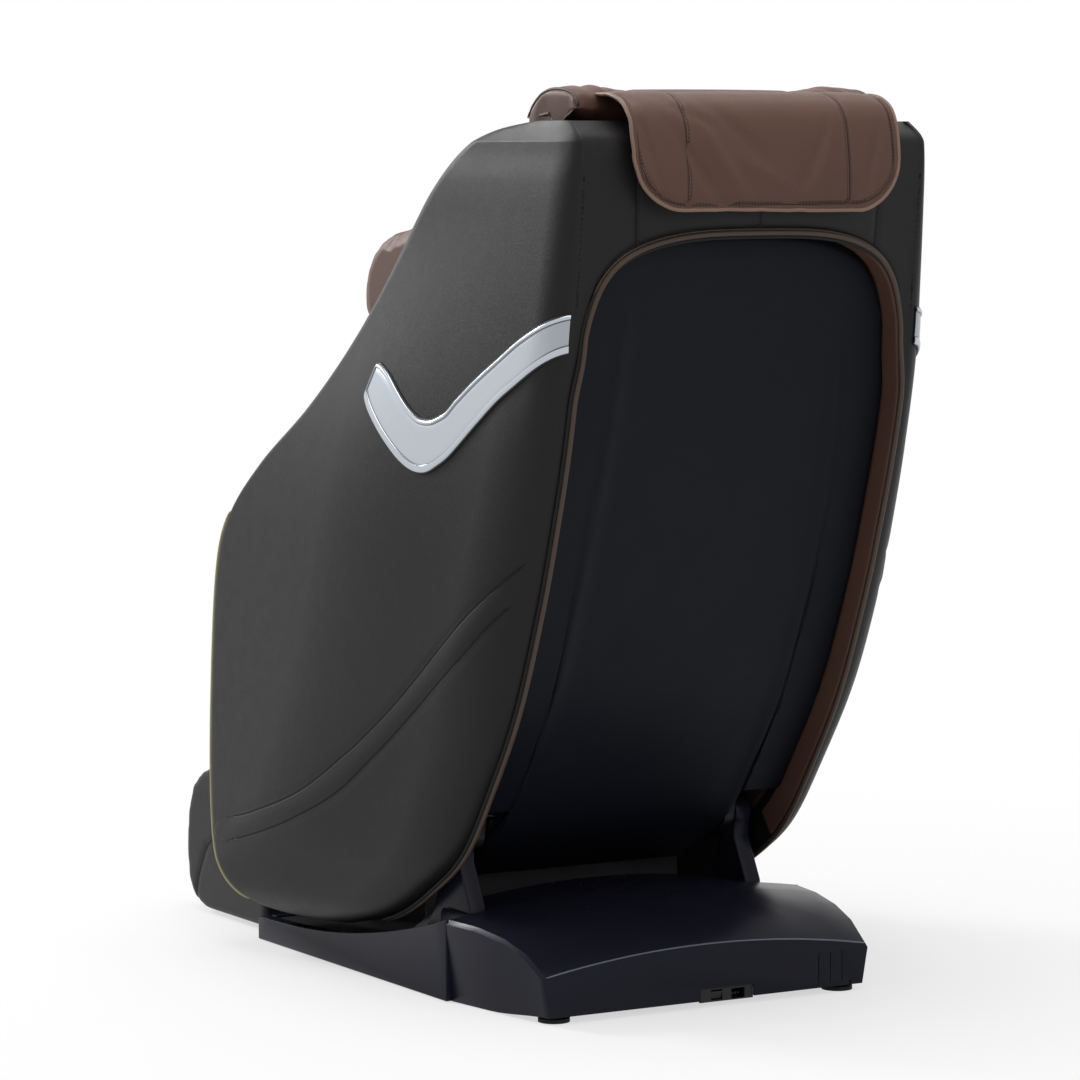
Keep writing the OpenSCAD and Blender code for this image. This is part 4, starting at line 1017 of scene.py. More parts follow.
def make_welts(scene):
    """Welt round the rim with a flange, a black strip beside it that stands for the shadow in the gap, and
    the front edges' piping.
    """
    side = []
    for i in range(6, 79):
        (y, z), (ny, nz) = rim(i / 2), rim_normal(i / 2)
        side.append((HALF_IN - 3, y + ny * WELT_OUT, z + nz * WELT_OUT))
    arch = []
    for i in range(1, 60):
        x = (HALF_IN - 2) * signed_power(math.sin(math.radians(84 - 168 * (i - 1) / 58)), 2 / ARCH_POWER)
        z = arch_z(x, 2)
        arch.append((x, rim_y(z) + crown(x) + 2.5, z))
    course = side + arch + [(-x, y, z) for x, y, z in reversed(side)]
    thinned = course[::2]
    course = smooth_path(thinned, CORD_STEP)
    welt = tube("rim_welt_roll", thinned, CORD_STEP, WELT_R, 12)

    def beside(away):
        """The same course, outside the welt or inside it."""
        moved = []
        for p in course:
            over = ease((p.z - ARCH_TOP + 110) / 90)
            side = 1 - over * (1 - min(1, abs(p.x) / HALF_IN) ** 6)
            moved.append(p + Vector((math.copysign(away, p.x) * side, -2.2, away * over)))
        return moved

    second = tube("rim_welt_flange", beside(WELT_OUT)[::2], CORD_STEP, FLANGE_R, 8)
    # Painted shade: a black cord inside the welt stands for the deep shadow in the gap by the cover.
    shade = tube("rim_gap_shadow_strip", beside(-STRIP_IN)[::2], CORD_STEP, STRIP_R, 8)
    soften(shade, 60)
    pinch(shade)
    settle(shade, "rubber", "body")
    welt = join("rim_welt_cord", welt, second)
    soften(welt, 60)
    pinch(welt)
    settle(welt, "welt_leather", "body", "rim_welt")
    cords = []
    for sign in (1, -1):
        path = []
        for i in range(20, 105):
            front, way, span = shell_row(i / 240)
            y, z = [p + d * PIPING_IN for p, d in zip(front, way)]
            out = shell_out(y, z, PIPING_IN, span - PIPING_IN, foot_round(i / 240)) + 0.9
            path.append((sign * out, y, z))
        cords.append(tube("front_piping", path, CORD_STEP, PIPING_R, 10))
    piping = join("front_edge_piping", *cords)
    soften(piping, 60)
    settle(piping, "grey_piping", "body", "front_welts")


TRIM_LOW = [(118, .311), (132, .280), (161, .236), (185, .204), (208, .177), (229, .159), (249, .151),
            (268, .154), (288, .170), (307, .189), (326, .215), (363, .269), (401, .321), (439, .363),
            (472, .398), (502, .430), (520, .448)]
TRIM_HIGH = [(137, .388), (151, .380), (170, .360), (194, .326), (218, .295), (241, .274), (258, .269),
             (272, .271), (288, .281), (301, .293), (319, .321), (357, .370), (397, .414), (437, .456),
             (473, .486), (502, .510), (522, .527)]


GAP_SHADOW_R, BAND_THICK = 1.7, 1.6


def where_rim(line):
    """Share of a band's outline at which it reaches the rear rim."""
    low, high = 0.5, 1.0
    for _ in range(30):
        middle = (low + high) / 2
        y, z = spline(line, middle)
        low, high = (middle, high) if y < rim_y(z) - 0.8 else (low, middle)
    return low


def on_shell(y, z, lift):
    """Point at a height over the leather of the left side, near the silver band."""
    far = max(rim_y(z) - y, 0.5)
    y = rim_y(z) - far
    near, step = y - front_y(z), min(0.4, far * 0.4)
    lean = (shell_out(y, z, near, far - step) - shell_out(y, z, near, far + step)) / (2 * step)
    length = math.hypot(1, lean)
    return shell_out(y, z, near, far) + lift / length, y - lean / length * lift, z


def make_side_trims(scene):
    """Silver band with a raised border and a sunk face, ringed by a black cord that stands for the shadow in
    the gap round it.
    """
    trim = scene.chair_trim
    border, height = trim.border_width / MM, trim.border_height / MM
    low = [(y, up(s)) for y, s in TRIM_LOW]
    high = [(y, up(s)) for y, s in TRIM_HIGH]
    low_end, high_end = where_rim(low), where_rim(high)

    def lift_at(edge, wide):
        """Height of the band at a distance from its outline; wide is the width of the border."""
        if edge < 1.6:
            return 0.5 + (height - 0.9) * round_in(edge / 1.6)
        if edge < wide:
            return height - 0.4 + 0.4 * math.sin(math.pi * (edge - 1.6) / (wide - 1.6))
        return height - 0.4 - 1.7 * ease((edge - wide) / 1.1) + 0.5 * ease((edge - wide - 1.1) / 2.5)

    def marks(wide):
        return [0, 0.25, 0.7, 1.6, 2.6, (wide + 2.6) / 2, wide - 0.8, wide, wide + 0.4, wide + 0.8,
                wide + 1.2, wide + 2.0, wide + 3.6]

    below, above = marks(border * 1.75), marks(border)
    middle = 6
    band = len(below) + middle + len(above)
    along = [0.0, 0.0006, 0.0015, 0.003, 0.005, 0.0075, 0.010, 0.0125, 0.015, 0.018, 0.022, 0.027]
    along += [0.027 + (0.91 - 0.027) * i / 150 for i in range(1, 151)]
    along += [1 - 0.09 * (1 - i / 20) ** 1.8 for i in range(1, 21)]
    kept = []

    def face(across, down):
        share = along[round(down * (len(along) - 1))]
        a, b = spline(low, share * low_end), spline(high, share * high_end)
        width = math.hypot(b[0] - a[0], b[1] - a[1])
        k = round(across * (band - 1))
        if k < len(below):
            t = below[k] / width
        elif k >= band - len(above):
            t = 1 - above[band - 1 - k] / width
        else:
            first, last = below[-1] / width, 1 - above[-1] / width
            t = first + (last - first) * (k - len(below) + 1) / (middle + 1)
        start = share * 640.0
        edge, wide = min((t * width, border * 1.75), ((1 - t) * width, border))
        tip = 1 - 0.34 * (1 - round_in(start / 15))
        if start < edge:
            edge, wide = start, border
        lift = lift_at(edge, wide)
        t = 0.5 + (t - 0.5) * tip
        kept.append((edge, wide, share))
        y, z = a[0] + (b[0] - a[0]) * t, a[1] + (b[1] - a[1]) * t
        return on_shell(y, z, lift)

    band_piece = patch("side_band_left", band - 1, len(along) - 1, face)
    stored = band_piece.data.attributes.new("band", "FLOAT_VECTOR", "POINT")
    for value, (edge, wide, share) in zip(stored.data, kept):
        value.vector = (edge, wide, share)
    tidy_mesh(band_piece, merge=0.000001, flip=False)
    if sum(p.normal.x for p in band_piece.data.polygons) < 0:
        band_piece.data.flip_normals()
    apply_modifier(band_piece, "SOLIDIFY", thickness=BAND_THICK * MM, offset=-1.0)
    soften(band_piece, 40)
    settle(band_piece, "silver_trim", "body", "side_trim_left")
    settle(mirrored(band_piece, "side_band_right"), "silver_trim", "body", "side_trim_right")
    outline = [on_shell(*spline(low, low_end * i / 70), 0.7) for i in range(70, 1, -1)]
    outline += [on_shell(*[p + (q - p) * t for p, q in zip(spline(low, 0), spline(high, 0))], 0.7)
                for t in (0.2, 0.5, 0.8)]
    outline += [on_shell(*spline(high, high_end * i / 70), 0.7) for i in range(2, 71)]
    # Painted shade: a black cord round the band stands for the shadow in the gap round it.
    gap_shadow_cord = tube("side_band_gap_shadow_left", outline, 4.0, GAP_SHADOW_R, 8)
    settle(gap_shadow_cord, "black_plastic", "body")
    settle(mirrored(gap_shadow_cord, "side_band_gap_shadow_right"), "black_plastic", "body")


# ------------------------------------------------------------------ padded pieces
def hold_inside(piece, low, high):
    """Keeps every point of a piece inside a box given in millimetres."""
    for vertex in piece.data.vertices:
        vertex.co = Vector([min(max(c, a * MM), b * MM) for c, a, b in zip(vertex.co, low, high)])


def fill_with_air(piece, scene, cap, shrink, rounds=8, pressure=1.0, size=None, subdivide=True):
    """Remeshes a padded piece and lets its filling swell it, each point held to a cap."""
    cushion = scene.chair_cushion
    apply_modifier(piece, "REMESH", mode="VOXEL", voxel_size=size or cushion.mesh_size, use_smooth_shade=True)
    apply_modifier(piece, "SMOOTH", factor=0.5, iterations=rounds)
    for vertex, normal in zip(piece.data.vertices, [v.normal.copy() for v in piece.data.vertices]):
        vertex.co -= normal * shrink * MM
    start = [v.co.copy() for v in piece.data.vertices]
    take(piece)
    cloth = piece.modifiers.new("Cloth", "CLOTH")
    cloth.settings.quality = 4
    cloth.settings.mass = 0.35
    cloth.settings.tension_stiffness = 18
    cloth.settings.compression_stiffness = 18
    cloth.settings.bending_stiffness = 1.2
    cloth.settings.use_pressure = True
    cloth.settings.uniform_pressure_force = cushion.pressure * pressure
    cloth.settings.effector_weights.gravity = 0.0
    cloth.collision_settings.use_collision = False
    cloth.point_cache.frame_start = 1
    cloth.point_cache.frame_end = cushion.frames + 1
    for frame_number in range(1, cushion.frames + 1):
        scene.frame_set(frame_number)
    take(piece)
    bpy.ops.object.modifier_apply(modifier="Cloth")
    for vertex, old in zip(piece.data.vertices, start):
        moved = vertex.co - old
        if moved.length > cap * MM:
            vertex.co = old + moved.normalized() * cap * MM
    scene.frame_set(1)
    apply_modifier(piece, "SMOOTH", factor=0.5, iterations=4)
    if subdivide:
        apply_modifier(piece, "SUBSURF", levels=1, render_levels=1)
    soften(piece)


def lay_on(tree, points, lift):
    """Moves points onto a surface, a little above it; all in millimetres."""
    out = []
    for p in points:
        place, normal, _, _ = tree.find_nearest(Vector(p) * MM)
        out.append(place / MM + normal * lift)
    return out


def ring_round(tree, x, centre, count, lift, turn, sweep):
    """Course round a piece in the plane of one x, found by looking out from its centre."""
    out = []
    for i in range(count + 1):
        angle = math.radians(turn + sweep * i / count)
        way = Vector((0, math.cos(angle), math.sin(angle)))
        place, normal, _, _ = tree.ray_cast(Vector((x, *centre)) * MM, way)
        if place is not None:
            out.append(place / MM + way * lift)
    return out


ROLL_CENTRE, HEAD_SEAM_X, HEAD_PIPING_X, ROLL_RAISE, FOLD_DEPTH = (398, 1122), 118, 214, 8.0, 2.4


def make_head_cushion(scene):
    """Head cushion: its roll over the top, piping round both ends and two seams across its face."""
    piece = copy_of("head_cushion", "head_pad")
    fill_with_air(piece, scene, 9, 2.0, 6)
    for vertex in piece.data.vertices:
        x, y, z = vertex.co / MM
        ends = ease((abs(x) - 128) / 50) * ease((z - 1096) / 44)
        vertex.co.z += ROLL_RAISE * MM * ends
        behind = y - ROLL_CENTRE[0]
        fold = math.exp(-((abs(x) - 176 - 0.30 * behind) / 7.0) ** 2)
        fold += 0.8 * math.exp(-((abs(x) - 158 - 0.12 * behind) / 5.0) ** 2)
        vertex.co.z -= FOLD_DEPTH * MM * fold * ease((z - 1100) / 30)
    tree = wall_tree(piece)
    seams = []
    for x in (HEAD_SEAM_X, -HEAD_SEAM_X):
        course = ring_round(tree, x, ROLL_CENTRE, 80, 0.0, -60, 300)
        seams.append(SeamLine(course, (math.copysign(1, x), 0, 0)))
    sew(piece, seams, 0.0026, 0.006, 0.2, 0.008)
    settle(piece, "brown_leather", "body", "head_cushion")
    cords = []
    for x in (HEAD_PIPING_X, -HEAD_PIPING_X):
        course = ring_round(tree, x, ROLL_CENTRE, 90, 0.6, -62, 350)
        cords.append(tube("head_piping", course[::2], 5.0, 2.1, 8))
    piping = join("head_pad_piping", *cords)
    soften(piping, 60)
    settle(piping, "welt_leather", "body")


FLAP_HALF, FLAP_CORNER, FLAP_SEAM_X, FLAP_THICK, HEM_IN, BINDING_R = 193.0, 70.0, 116.0, 3.2, 8.5, 2.3
FLAP_COURSE = [(446, 1147.0), (475, 1147.2), (498, 1147.5), (521, 1142), (541, 1130), (554, 1106),
               (561, 1062), (562.5, 1030), (563, 1003)]


def flap_frame():
    """Even course of the flap from the top of the roll to its hem."""
    course = smooth_path([(0, y, z) for y, z in FLAP_COURSE], 1.0)
    return [(p.y, p.z) for p in course]


def on_course(course, run):
    """Point of the flap's course at a distance along it, and the direction there."""
    k = min(int(run), len(course) - 2)
    t = min(run - k, 1.0)
    (ay, az), (by, bz) = course[k], course[k + 1]
    return ay + (by - ay) * t, az + (bz - az) * t, by - ay, bz - az


def flap_seam(side, run):
    """X of one of the flap's two long seams, at a distance along the flap."""
    return side * (FLAP_SEAM_X - 6 * (1 - ease(run / 90)))


def make_head_flap(scene):
    """Leather flap that hangs over the back from the head cushion, with a bound edge."""
    course = flap_frame()
    total = len(course) - 1.0

    def half_at(run):
        """Half width at a distance along the flap."""
        return FLAP_HALF - 9 * (1 - ease(run / 70))

    def run_limit(x):
        """Distance along the flap where its hem lies, at one x."""
        over = abs(x) - (FLAP_HALF - FLAP_CORNER)
        drop = FLAP_CORNER - math.sqrt(max(0.0, FLAP_CORNER ** 2 - over ** 2)) if over > 0 else 0.0
        sag = 1.8 * math.sin(x * 0.011 + 0.6)
        return total - drop - sag

    folds = [((172, 1078), (-0.25, -0.97), 8, 58, -3.4), ((96, 1050), (-0.62, -0.78), 9, 60, -4.2),
             ((70, 1066), (-0.55, -0.83), 10, 62, 3.6), ((42, 1098), (-0.75, -0.66), 10, 52, -3.0),
             ((-62, 1060), (0.55, -0.83), 11, 60, -2.6), ((-90, 1090), (0.35, -0.93), 8, 45, 2.0),
             ((-150, 1060), (0.30, -0.95), 7, 50, -2.2), ((166, 1036), (-0.2, -0.98), 6, 36, 2.0),
             ((104, 1118), (-0.9, -0.43), 8, 40, -2.2), ((8, 1050), (-0.9, -0.43), 9, 48, 1.8)]

    def relief(x, z, run, edge):
        """How far the leather stands out: padding between seams, seams, folds."""
        high = 2.6 * (1 - math.exp(-(edge / 16) ** 2)) - 2.6
        for side in SIDES.values():
            high -= 1.7 * math.exp(-((x - flap_seam(side, run)) / 5.0) ** 2)
        high -= 1.3 * math.exp(-((edge - 8.5) / 3.2) ** 2)
        for (fx, fz), (dx, dz), wide, long, size in folds:
            away = (x - fx) * dz - (z - fz) * dx
            ahead = (x - fx) * dx + (z - fz) * dz
            high += size * math.exp(-(away / wide) ** 2 - (ahead / long) ** 2) * ease(run / 60)
        high += 0.9 * math.sin(x * 0.045 + 0.8) * (1 - ease(run / 80)) * ease(run / 15)
        return high

    columns, rows = 150, 100

    def face(across, down):
        share = math.sin(math.pi * (across - 0.5))
        mixed = 0.45 * share + 0.55 * (2 * across - 1)
        limit = run_limit(mixed * FLAP_HALF)
        run = limit * (down ** 0.9)
        x = mixed * half_at(run)
        y, z, dy, dz = on_course(course, run)
        length = math.hypot(dy, dz) or 1.0
        ny, nz = -dz / length, dy / length
        if ny < 0 and nz < 0:
            ny, nz = -ny, -nz
        edge = min(half_at(run) - abs(x), (limit - run) + 0.5)
        high = relief(x, z, run, edge)
        return x, y + ny * high, z + nz * high

    piece = patch("head_flap_leather", columns, rows, face)
    tidy_mesh(piece, merge=0.00002, flip=False)
    if sum(p.normal.y * p.area for p in piece.data.polygons) < 0:
        piece.data.flip_normals()
    hem = []
    for i in range(0, 181):
        t = i / 180
        if t < 0.3:
            run = t / 0.3 * (total - FLAP_CORNER)
            hem.append((half_at(run) - HEM_IN, run))
        elif t < 0.5:
            turn = math.pi / 2 * (t - 0.3) / 0.2
            hem.append((FLAP_HALF - FLAP_CORNER + (FLAP_CORNER - HEM_IN) * math.cos(turn),
                        total - FLAP_CORNER + (FLAP_CORNER - HEM_IN) * math.sin(turn)))
    middle = [(x, total - HEM_IN) for x in range(120, -121, -8)]
    rows_of_hem = hem + middle + [(-x, run) for x, run in reversed(hem)]

    def place_at(x, run):
        y, z, _, _ = on_course(course, run)
        return x, y, z

    lines = [SeamLine([place_at(x, run) for x, run in rows_of_hem], (0, 1, 0.2))]
    for side in SIDES.values():
        lines.append(SeamLine([place_at(flap_seam(side, run), run) for run in range(0, int(total) - 8, 8)],
                              (0, 1, 0.2)))
    mark_seams(piece, lines, 0.0045)
    apply_modifier(piece, "SOLIDIFY", thickness=FLAP_THICK * MM, offset=-1.0)
    soften(piece, 60)
    settle(piece, "brown_leather", "body", "head_flap")
    outline = [(half_at(run), run) for run in range(0, int(total - FLAP_CORNER), 6)]
    corner = [FLAP_HALF - FLAP_CORNER + FLAP_CORNER * math.cos(math.radians(a)) for a in range(0, 91, 6)]
    outline += [(x, run_limit(x)) for x in (*corner, *range(116, 0, -8))]
    both = outline + [(0, run_limit(0))] + [(-x, run_limit(-x) if run > total - FLAP_CORNER else run)
                                            for x, run in reversed(outline)]
    tree = wall_tree(piece)
    edge_course = lay_on(tree, [place_at(x, run) for x, run in both], -0.6)
    binding = tube("head_flap_binding", edge_course[::2], 4.0, BINDING_R, 10, Vector((0, 1, 0)))
    settle(binding, "welt_leather", "body", finish="binding_leather")


def make_wings_and_pads(scene):
    """Shoulder wings and arm pads with a seam round their faces."""
    for side, sign in SIDES.items():
        if sign > 0:
            wing = copy_of("shoulder_wing_left", "shoulder_pad_left")
            fill_with_air(wing, scene, 9, 3.0, 8)
            tree = wall_tree(wing)
            loop = [(BOARD_IN - 34, 66 + 112 * math.cos(a) * 0.92 + 0.22 * 74 * math.sin(a),
                     up(.556) + 74 * math.sin(a)) for a in (math.radians(d) for d in range(0, 361, 8))]
            loop = lay_on(tree, loop, 0)
            sew(wing, [SeamLine(loop, (-1, 0, 0))], 0.0024, 0.006, 0.35)
            pad = copy_of("arm_pad_left", "arm_rest_pad_left")
            fill_with_air(pad, scene, 6, 2.0, 6, 0.8)
            hold_inside(pad, (205, -260, 440), (BOARD_IN - 0.4, 110, 600))
            loop = [(BOARD_IN - 20, -70 + 146 * signed_power(math.cos(a), 0.55),
                     ARM_Z - 66 + 33 * signed_power(math.sin(a), 0.55))
                    for a in (math.radians(d) for d in range(0, 361, 6))]
            sew(pad, [SeamLine(lay_on(wall_tree(pad), loop, 0), (-1, 0, 0))], 0.002, 0.005, 0.3)
            hold_inside(wing, (150, -100, 760), (BOARD_IN - 0.3, 220, 1010))
        else:
            wing = mirrored(wing, "shoulder_pad_right")
            pad = mirrored(pad, "arm_rest_pad_right")
        settle(wing, "brown_leather", "body", "shoulder_wing_" + side)
        settle(pad, "brown_leather", "body", "arm_pad_" + side)


def make_seat_and_back(scene):
    """Seat and back cushions with sewn panels."""
    seat = copy_of("seat_cushion", "seat_pad")
    fill_with_air(seat, scene, 12, 5.0, 8, subdivide=False)
    hold_inside(seat, (-BOARD_IN + 0.5, -292, 366.4), (BOARD_IN - 0.5, 100, 460))
    tree = wall_tree(seat)

    def seat_line(points):
        return SeamLine(lay_on(tree, [(x, y, 446) for x, y in points], 0), (0, 0, 1))
    seams = [seat_line([(150 * s, y) for y in range(-276, 86, 12)]) for s in (1, -1)]
    seams.append(seat_line([(x, -205) for x in range(-150, 151, 10)]))
    seams.append(seat_line([(x, 10) for x in range(-150, 151, 10)]))
    sew(seat, seams, 0.004, 0.009, 0.3)
    settle(seat, "brown_leather", "body", "seat_cushion")
    back = copy_of("back_cushion", "back_pad")
    fill_with_air(back, scene, 12, 5.0, 8, subdivide=False)
    tree = wall_tree(back)
    tilt = math.tan(LEAN)

    def back_line(points):
        return SeamLine(lay_on(tree, [(x, BACK_Y - 80 + (z - BACK_Z) * tilt, z) for x, z in points], 0),
                        (0, -1, 0))
    seams = [back_line([(130 * s, z) for z in range(445, 870, 12)]) for s in (1, -1)]
    seams += [back_line([(x, z) for x in range(-130, 131, 10)]) for z in (560, 700)]
    sew(back, seams, 0.004, 0.009, 0.3)
    settle(back, "brown_leather", "body", "back_cushion")


CALF_SEAM = [(-334, 330), (-380, 332), (-430, 318), (-466, 290), (-484, 255), (-490, 222)]
FOOT_SEAM = [(-352, 150), (-384, 160), (-424, 156), (-460, 136), (-487, 111), (-507, 98), (-520, 82),
             (-533, 59), (-543, 36), (-546, 14), (-549, 6)]


def make_leg_rest(scene):
    """Leather over the calf and foot sections, and the pads that line their wells."""
    half = HALF_IN - 5
    for node, name, body, course in (("calf_shell", "calf_leather", "legrest", CALF_SEAM),
                                     ("foot_shell", "foot_leather", "foot", FOOT_SEAM)):
        piece = copy_of(node, name)
        apply_modifier(piece, "REMESH", mode="VOXEL", voxel_size=0.0042, use_smooth_shade=True)
        apply_modifier(piece, "SMOOTH", factor=0.5, iterations=18)
        seams = [SeamLine([(sign * half, y, z) for y, z in course], (sign, 0, 0)) for sign in (1, -1)]
        sew(piece, seams, 0.0018, 0.005, 0.12, 0.0066)
        soften(piece)
        settle(piece, "black_leather", body, node)
    for node, name, body in (("calf_pad", "calf_lining", "legrest"), ("foot_pad", "foot_lining", "foot")):
        piece = copy_of(node, name)
        fill_with_air(piece, scene, 5, 2.6, 6, 0.7, size=0.005, subdivide=False)
        settle(piece, "brown_leather", body, node)


# ------------------------------------------------------------------ base, controls and mechanism
def rounded_copy(node, name, radius):
    """Merged copy of a moulded part with rounded edges."""
    piece = copy_of(node, name)
    take(piece)
    bpy.ops.object.mode_set(mode="EDIT")
    bpy.ops.mesh.select_all(action="SELECT")
    bpy.ops.mesh.dissolve_limited(angle_limit=math.radians(0.6))
    bpy.ops.object.mode_set(mode="OBJECT")
    apply_modifier(piece, "BEVEL", width=radius, segments=3, limit_method="ANGLE",
                   angle_limit=math.radians(34), use_clamp_overlap=True, harden_normals=False)
    soften(piece, 40)
    return piece


def crest_course(mesh):
    """Crest between the top and the rear face of the rear base cover, in millimetres."""
    meeting = {}
    for face in mesh.polygons:
        for key in face.edge_keys:
            meeting.setdefault(key, []).append(face.normal)
    found = set()
    for key, normals in meeting.items():
        if len(normals) == 2:
            one, other = sorted(normals, key=lambda n: -n.z)
            if one.z > 0.55 and other.y > 0.6 and one.angle(other) > math.radians(35):
                found.update(key)
    points = [mesh.vertices[i].co / MM for i in found]
    rear = max(p.y for p in points)
    points = [p for p in points if p.y > rear - 2]
    top = max(p.z for p in points)
    return sorted([p for p in points if p.z > 0.6 * top], key=lambda p: -p.x)


def make_base(scene):
    """Base covers and pivot uprights with rounded edges, and a bead on the rear crest whose lighter finish is
    a painted highlight.
    """
    radius = scene.chair_base.edge_radius
    plain = copy_of("base_rear_cover", "plain_lid")
    course = crest_course(plain.data)
    bpy.data.objects.remove(plain)
    for node, name in (("base_rear_cover", "base_lid"), ("base_side_cover_left", "base_side_left"),
                       ("base_side_cover_right", "base_side_right"), ("base_front_cover", "base_front"),
                       ("pivot_bracket_left", "pivot_upright_left"),
                       ("pivot_bracket_right", "pivot_upright_right")):
        piece = rounded_copy(node, name, radius * (1.6 if "pivot" in node else 1.0))
        settle(piece, "base_plastic", "base", node)
    # The bead is real geometry; its lighter finish is a painted highlight along the crest.
    bead = tube("crest_highlight_bead", course, 5.0, 1.1, 8, Vector((0, 0.7, 0.7)))
    settle(bead, "base_plastic", "base", finish="base_crest")


def make_controls(scene):
    """Control panel and round buttons with rounded edges."""
    panel = rounded_copy("control_panel", "control_plate", 0.0010)
    settle(panel, "black_plastic", "body", "control_panel")
    for node in ("button_power", "button_recline", "button_raise"):
        piece = rounded_copy(node, node + "_cap", 0.0012)
        settle(piece, "button_plastic", node, node)


def make_mechanism(scene):
    """Finishes of the frame, drives, carriage, rollers and wheels, by their material slots."""
    for part in frame["record"]["subparts"]:
        node = NODES[part["node"]]
        if part["material_slot"] in FINISHES:
            for place in node.material_slots:
                place.material = FINISHES[part["material_slot"]]


# ------------------------------------------------------------------ stage
CAMERA_PLACE, CAMERA_DROP, CAMERA_WAY = (3.0119, 5.1063, 1.09), math.radians(5.124), (0.509, -0.861)
WHITE = (1, 1, 1, 1)


def seen_rays(net):
    """1 for rays from the camera, from a gloss or through glass, and 0 for the light on the pieces."""
    rays = net.add("LightPath").outputs
    return net.math("MAXIMUM", rays["Is Camera Ray"],
                    net.math("MAXIMUM", rays["Is Glossy Ray"], rays["Is Transmission Ray"]))


def make_stage(scene):
    """Pale floor, white surroundings, soft studio lights and the camera."""
    stage = scene.chair_stage
    deselect()
    bpy.ops.mesh.primitive_plane_add(size=40, location=(0, 0, 0))
    floor = rename(bpy.context.object, "studio_floor")
    paint = bpy.data.materials.new("studio_floor")
    paint.use_nodes = True
    paint.node_tree.nodes.clear()
    net = Net(paint.node_tree)
    away = net.add("VectorMath", {0: net.place()}, operation="LENGTH").outputs["Value"]
    share = net.times(seen_rays(net), net.span(away, -1.6, 1.9))
    matt = net.add("BsdfPrincipled", {"Base Color": tuple(stage.floor_colour), "Roughness": 0.7,
                                      "Specular IOR Level": 0.2})
    glow = net.add("Emission", {"Color": WHITE, "Strength": 1.0})
    net.surface(net.add("MixShader", {0: share, 1: matt.outputs[0], 2: glow.outputs[0]}), "Material")
    floor.data.materials.append(paint)

    world = bpy.data.worlds.new("studio")
    scene.world = world
    world.use_nodes = True
    world.node_tree.nodes.clear()
    net = Net(world.node_tree)
    white = net.add("Background", {"Color": WHITE, "Strength": 1.0})
    fill = net.add("Background", {"Color": WHITE, "Strength": stage.fill_light})
    net.surface(net.add("MixShader", {0: seen_rays(net), 1: fill.outputs[0], 2: white.outputs[0]}), "World")

    def lamp(name, place, target, wide, high, power):
        light = bpy.data.lights.new(name, "AREA")
        light.shape = "RECTANGLE"
        light.size, light.size_y, light.energy = wide, high, power
        stand = bpy.data.objects.new(name, light)
        scene.collection.objects.link(stand)
        stand.location = place
        stand.rotation_euler = (Vector(target) - Vector(place)).to_track_quat("-Z", "Y").to_euler()

    lamp("key_light", (1.95, -3.4, 2.6), (0.3, 0.3, 0.9), 1.0, 1.2, stage.key_power)
    lamp("rear_light", (-0.6, 4.6, 2.4), (0.0, 0.4, 0.6), 2.4, 1.4, stage.key_power * 0.22)
    lamp("top_light", (0.3, 0.4, 3.6), (0.0, 0.2, 0.9), 2.2, 2.2, stage.key_power * 0.55)

    lens = bpy.data.cameras.new("camera")
    lens.sensor_width = 36
    lens.lens = stage.lens
    eye = bpy.data.objects.new("camera", lens)
    scene.collection.objects.link(eye)
    eye.location = CAMERA_PLACE
    eye.rotation_euler = (math.pi / 2 - CAMERA_DROP, 0, math.atan2(*CAMERA_WAY))
    scene.camera = eye
    scene.view_settings.view_transform = "Standard"


# ------------------------------------------------------------------ operators and panel
class CHAIR_OT_finishes(bpy.types.Operator):
    """Makes the leather, vinyl, plastic and metal finishes"""
    bl_idname = "chair.finishes"
    bl_label = "Finishes"

    def execute(self, context):
        make_finishes(context.scene)
        return {"FINISHED"}


class CHAIR_OT_side_shells(bpy.types.Operator):
    """Makes the two padded leather sides"""
    bl_idname = "chair.side_shells"
    bl_label = "Leather sides"

    def execute(self, context):
        make_side_shells(context.scene)
        return {"FINISHED"}


class CHAIR_OT_yoke(bpy.types.Operator):
    """Makes the leather band above the back cover"""
    bl_idname = "chair.yoke"
    bl_label = "Leather band"

    def execute(self, context):
        make_yoke(context.scene)
        return {"FINISHED"}


class CHAIR_OT_back_cover(bpy.types.Operator):
    """Makes the vinyl back cover"""
    bl_idname = "chair.back_cover"
    bl_label = "Back cover"

    def execute(self, context):
        make_back_cover(context.scene)
        return {"FINISHED"}


class CHAIR_OT_rim(bpy.types.Operator):
    """Makes the lining of the rim, its welt and the piping of the front edges"""
    bl_idname = "chair.rim"
    bl_label = "Rim and welts"

    def execute(self, context):
        make_rim_liner(context.scene)
        make_welts(context.scene)
        return {"FINISHED"}


class CHAIR_OT_side_trims(bpy.types.Operator):
    """Makes the silver bands on the sides"""
    bl_idname = "chair.side_trims"
    bl_label = "Silver bands"

    def execute(self, context):
        make_side_trims(context.scene)
        return {"FINISHED"}


class CHAIR_OT_head_cushion(bpy.types.Operator):
    """Makes the head cushion and its piping"""
    bl_idname = "chair.head_cushion"
    bl_label = "Head cushion"

    def execute(self, context):
        make_head_cushion(context.scene)
        return {"FINISHED"}


class CHAIR_OT_head_flap(bpy.types.Operator):
    """Makes the leather flap that hangs behind the head cushion"""
    bl_idname = "chair.head_flap"
    bl_label = "Head flap"

    def execute(self, context):
        make_head_flap(context.scene)
        return {"FINISHED"}


class CHAIR_OT_wings_and_pads(bpy.types.Operator):
    """Makes the shoulder wings and the arm pads"""
    bl_idname = "chair.wings_and_pads"
    bl_label = "Shoulder wings and arm pads"

    def execute(self, context):
        make_wings_and_pads(context.scene)
        return {"FINISHED"}


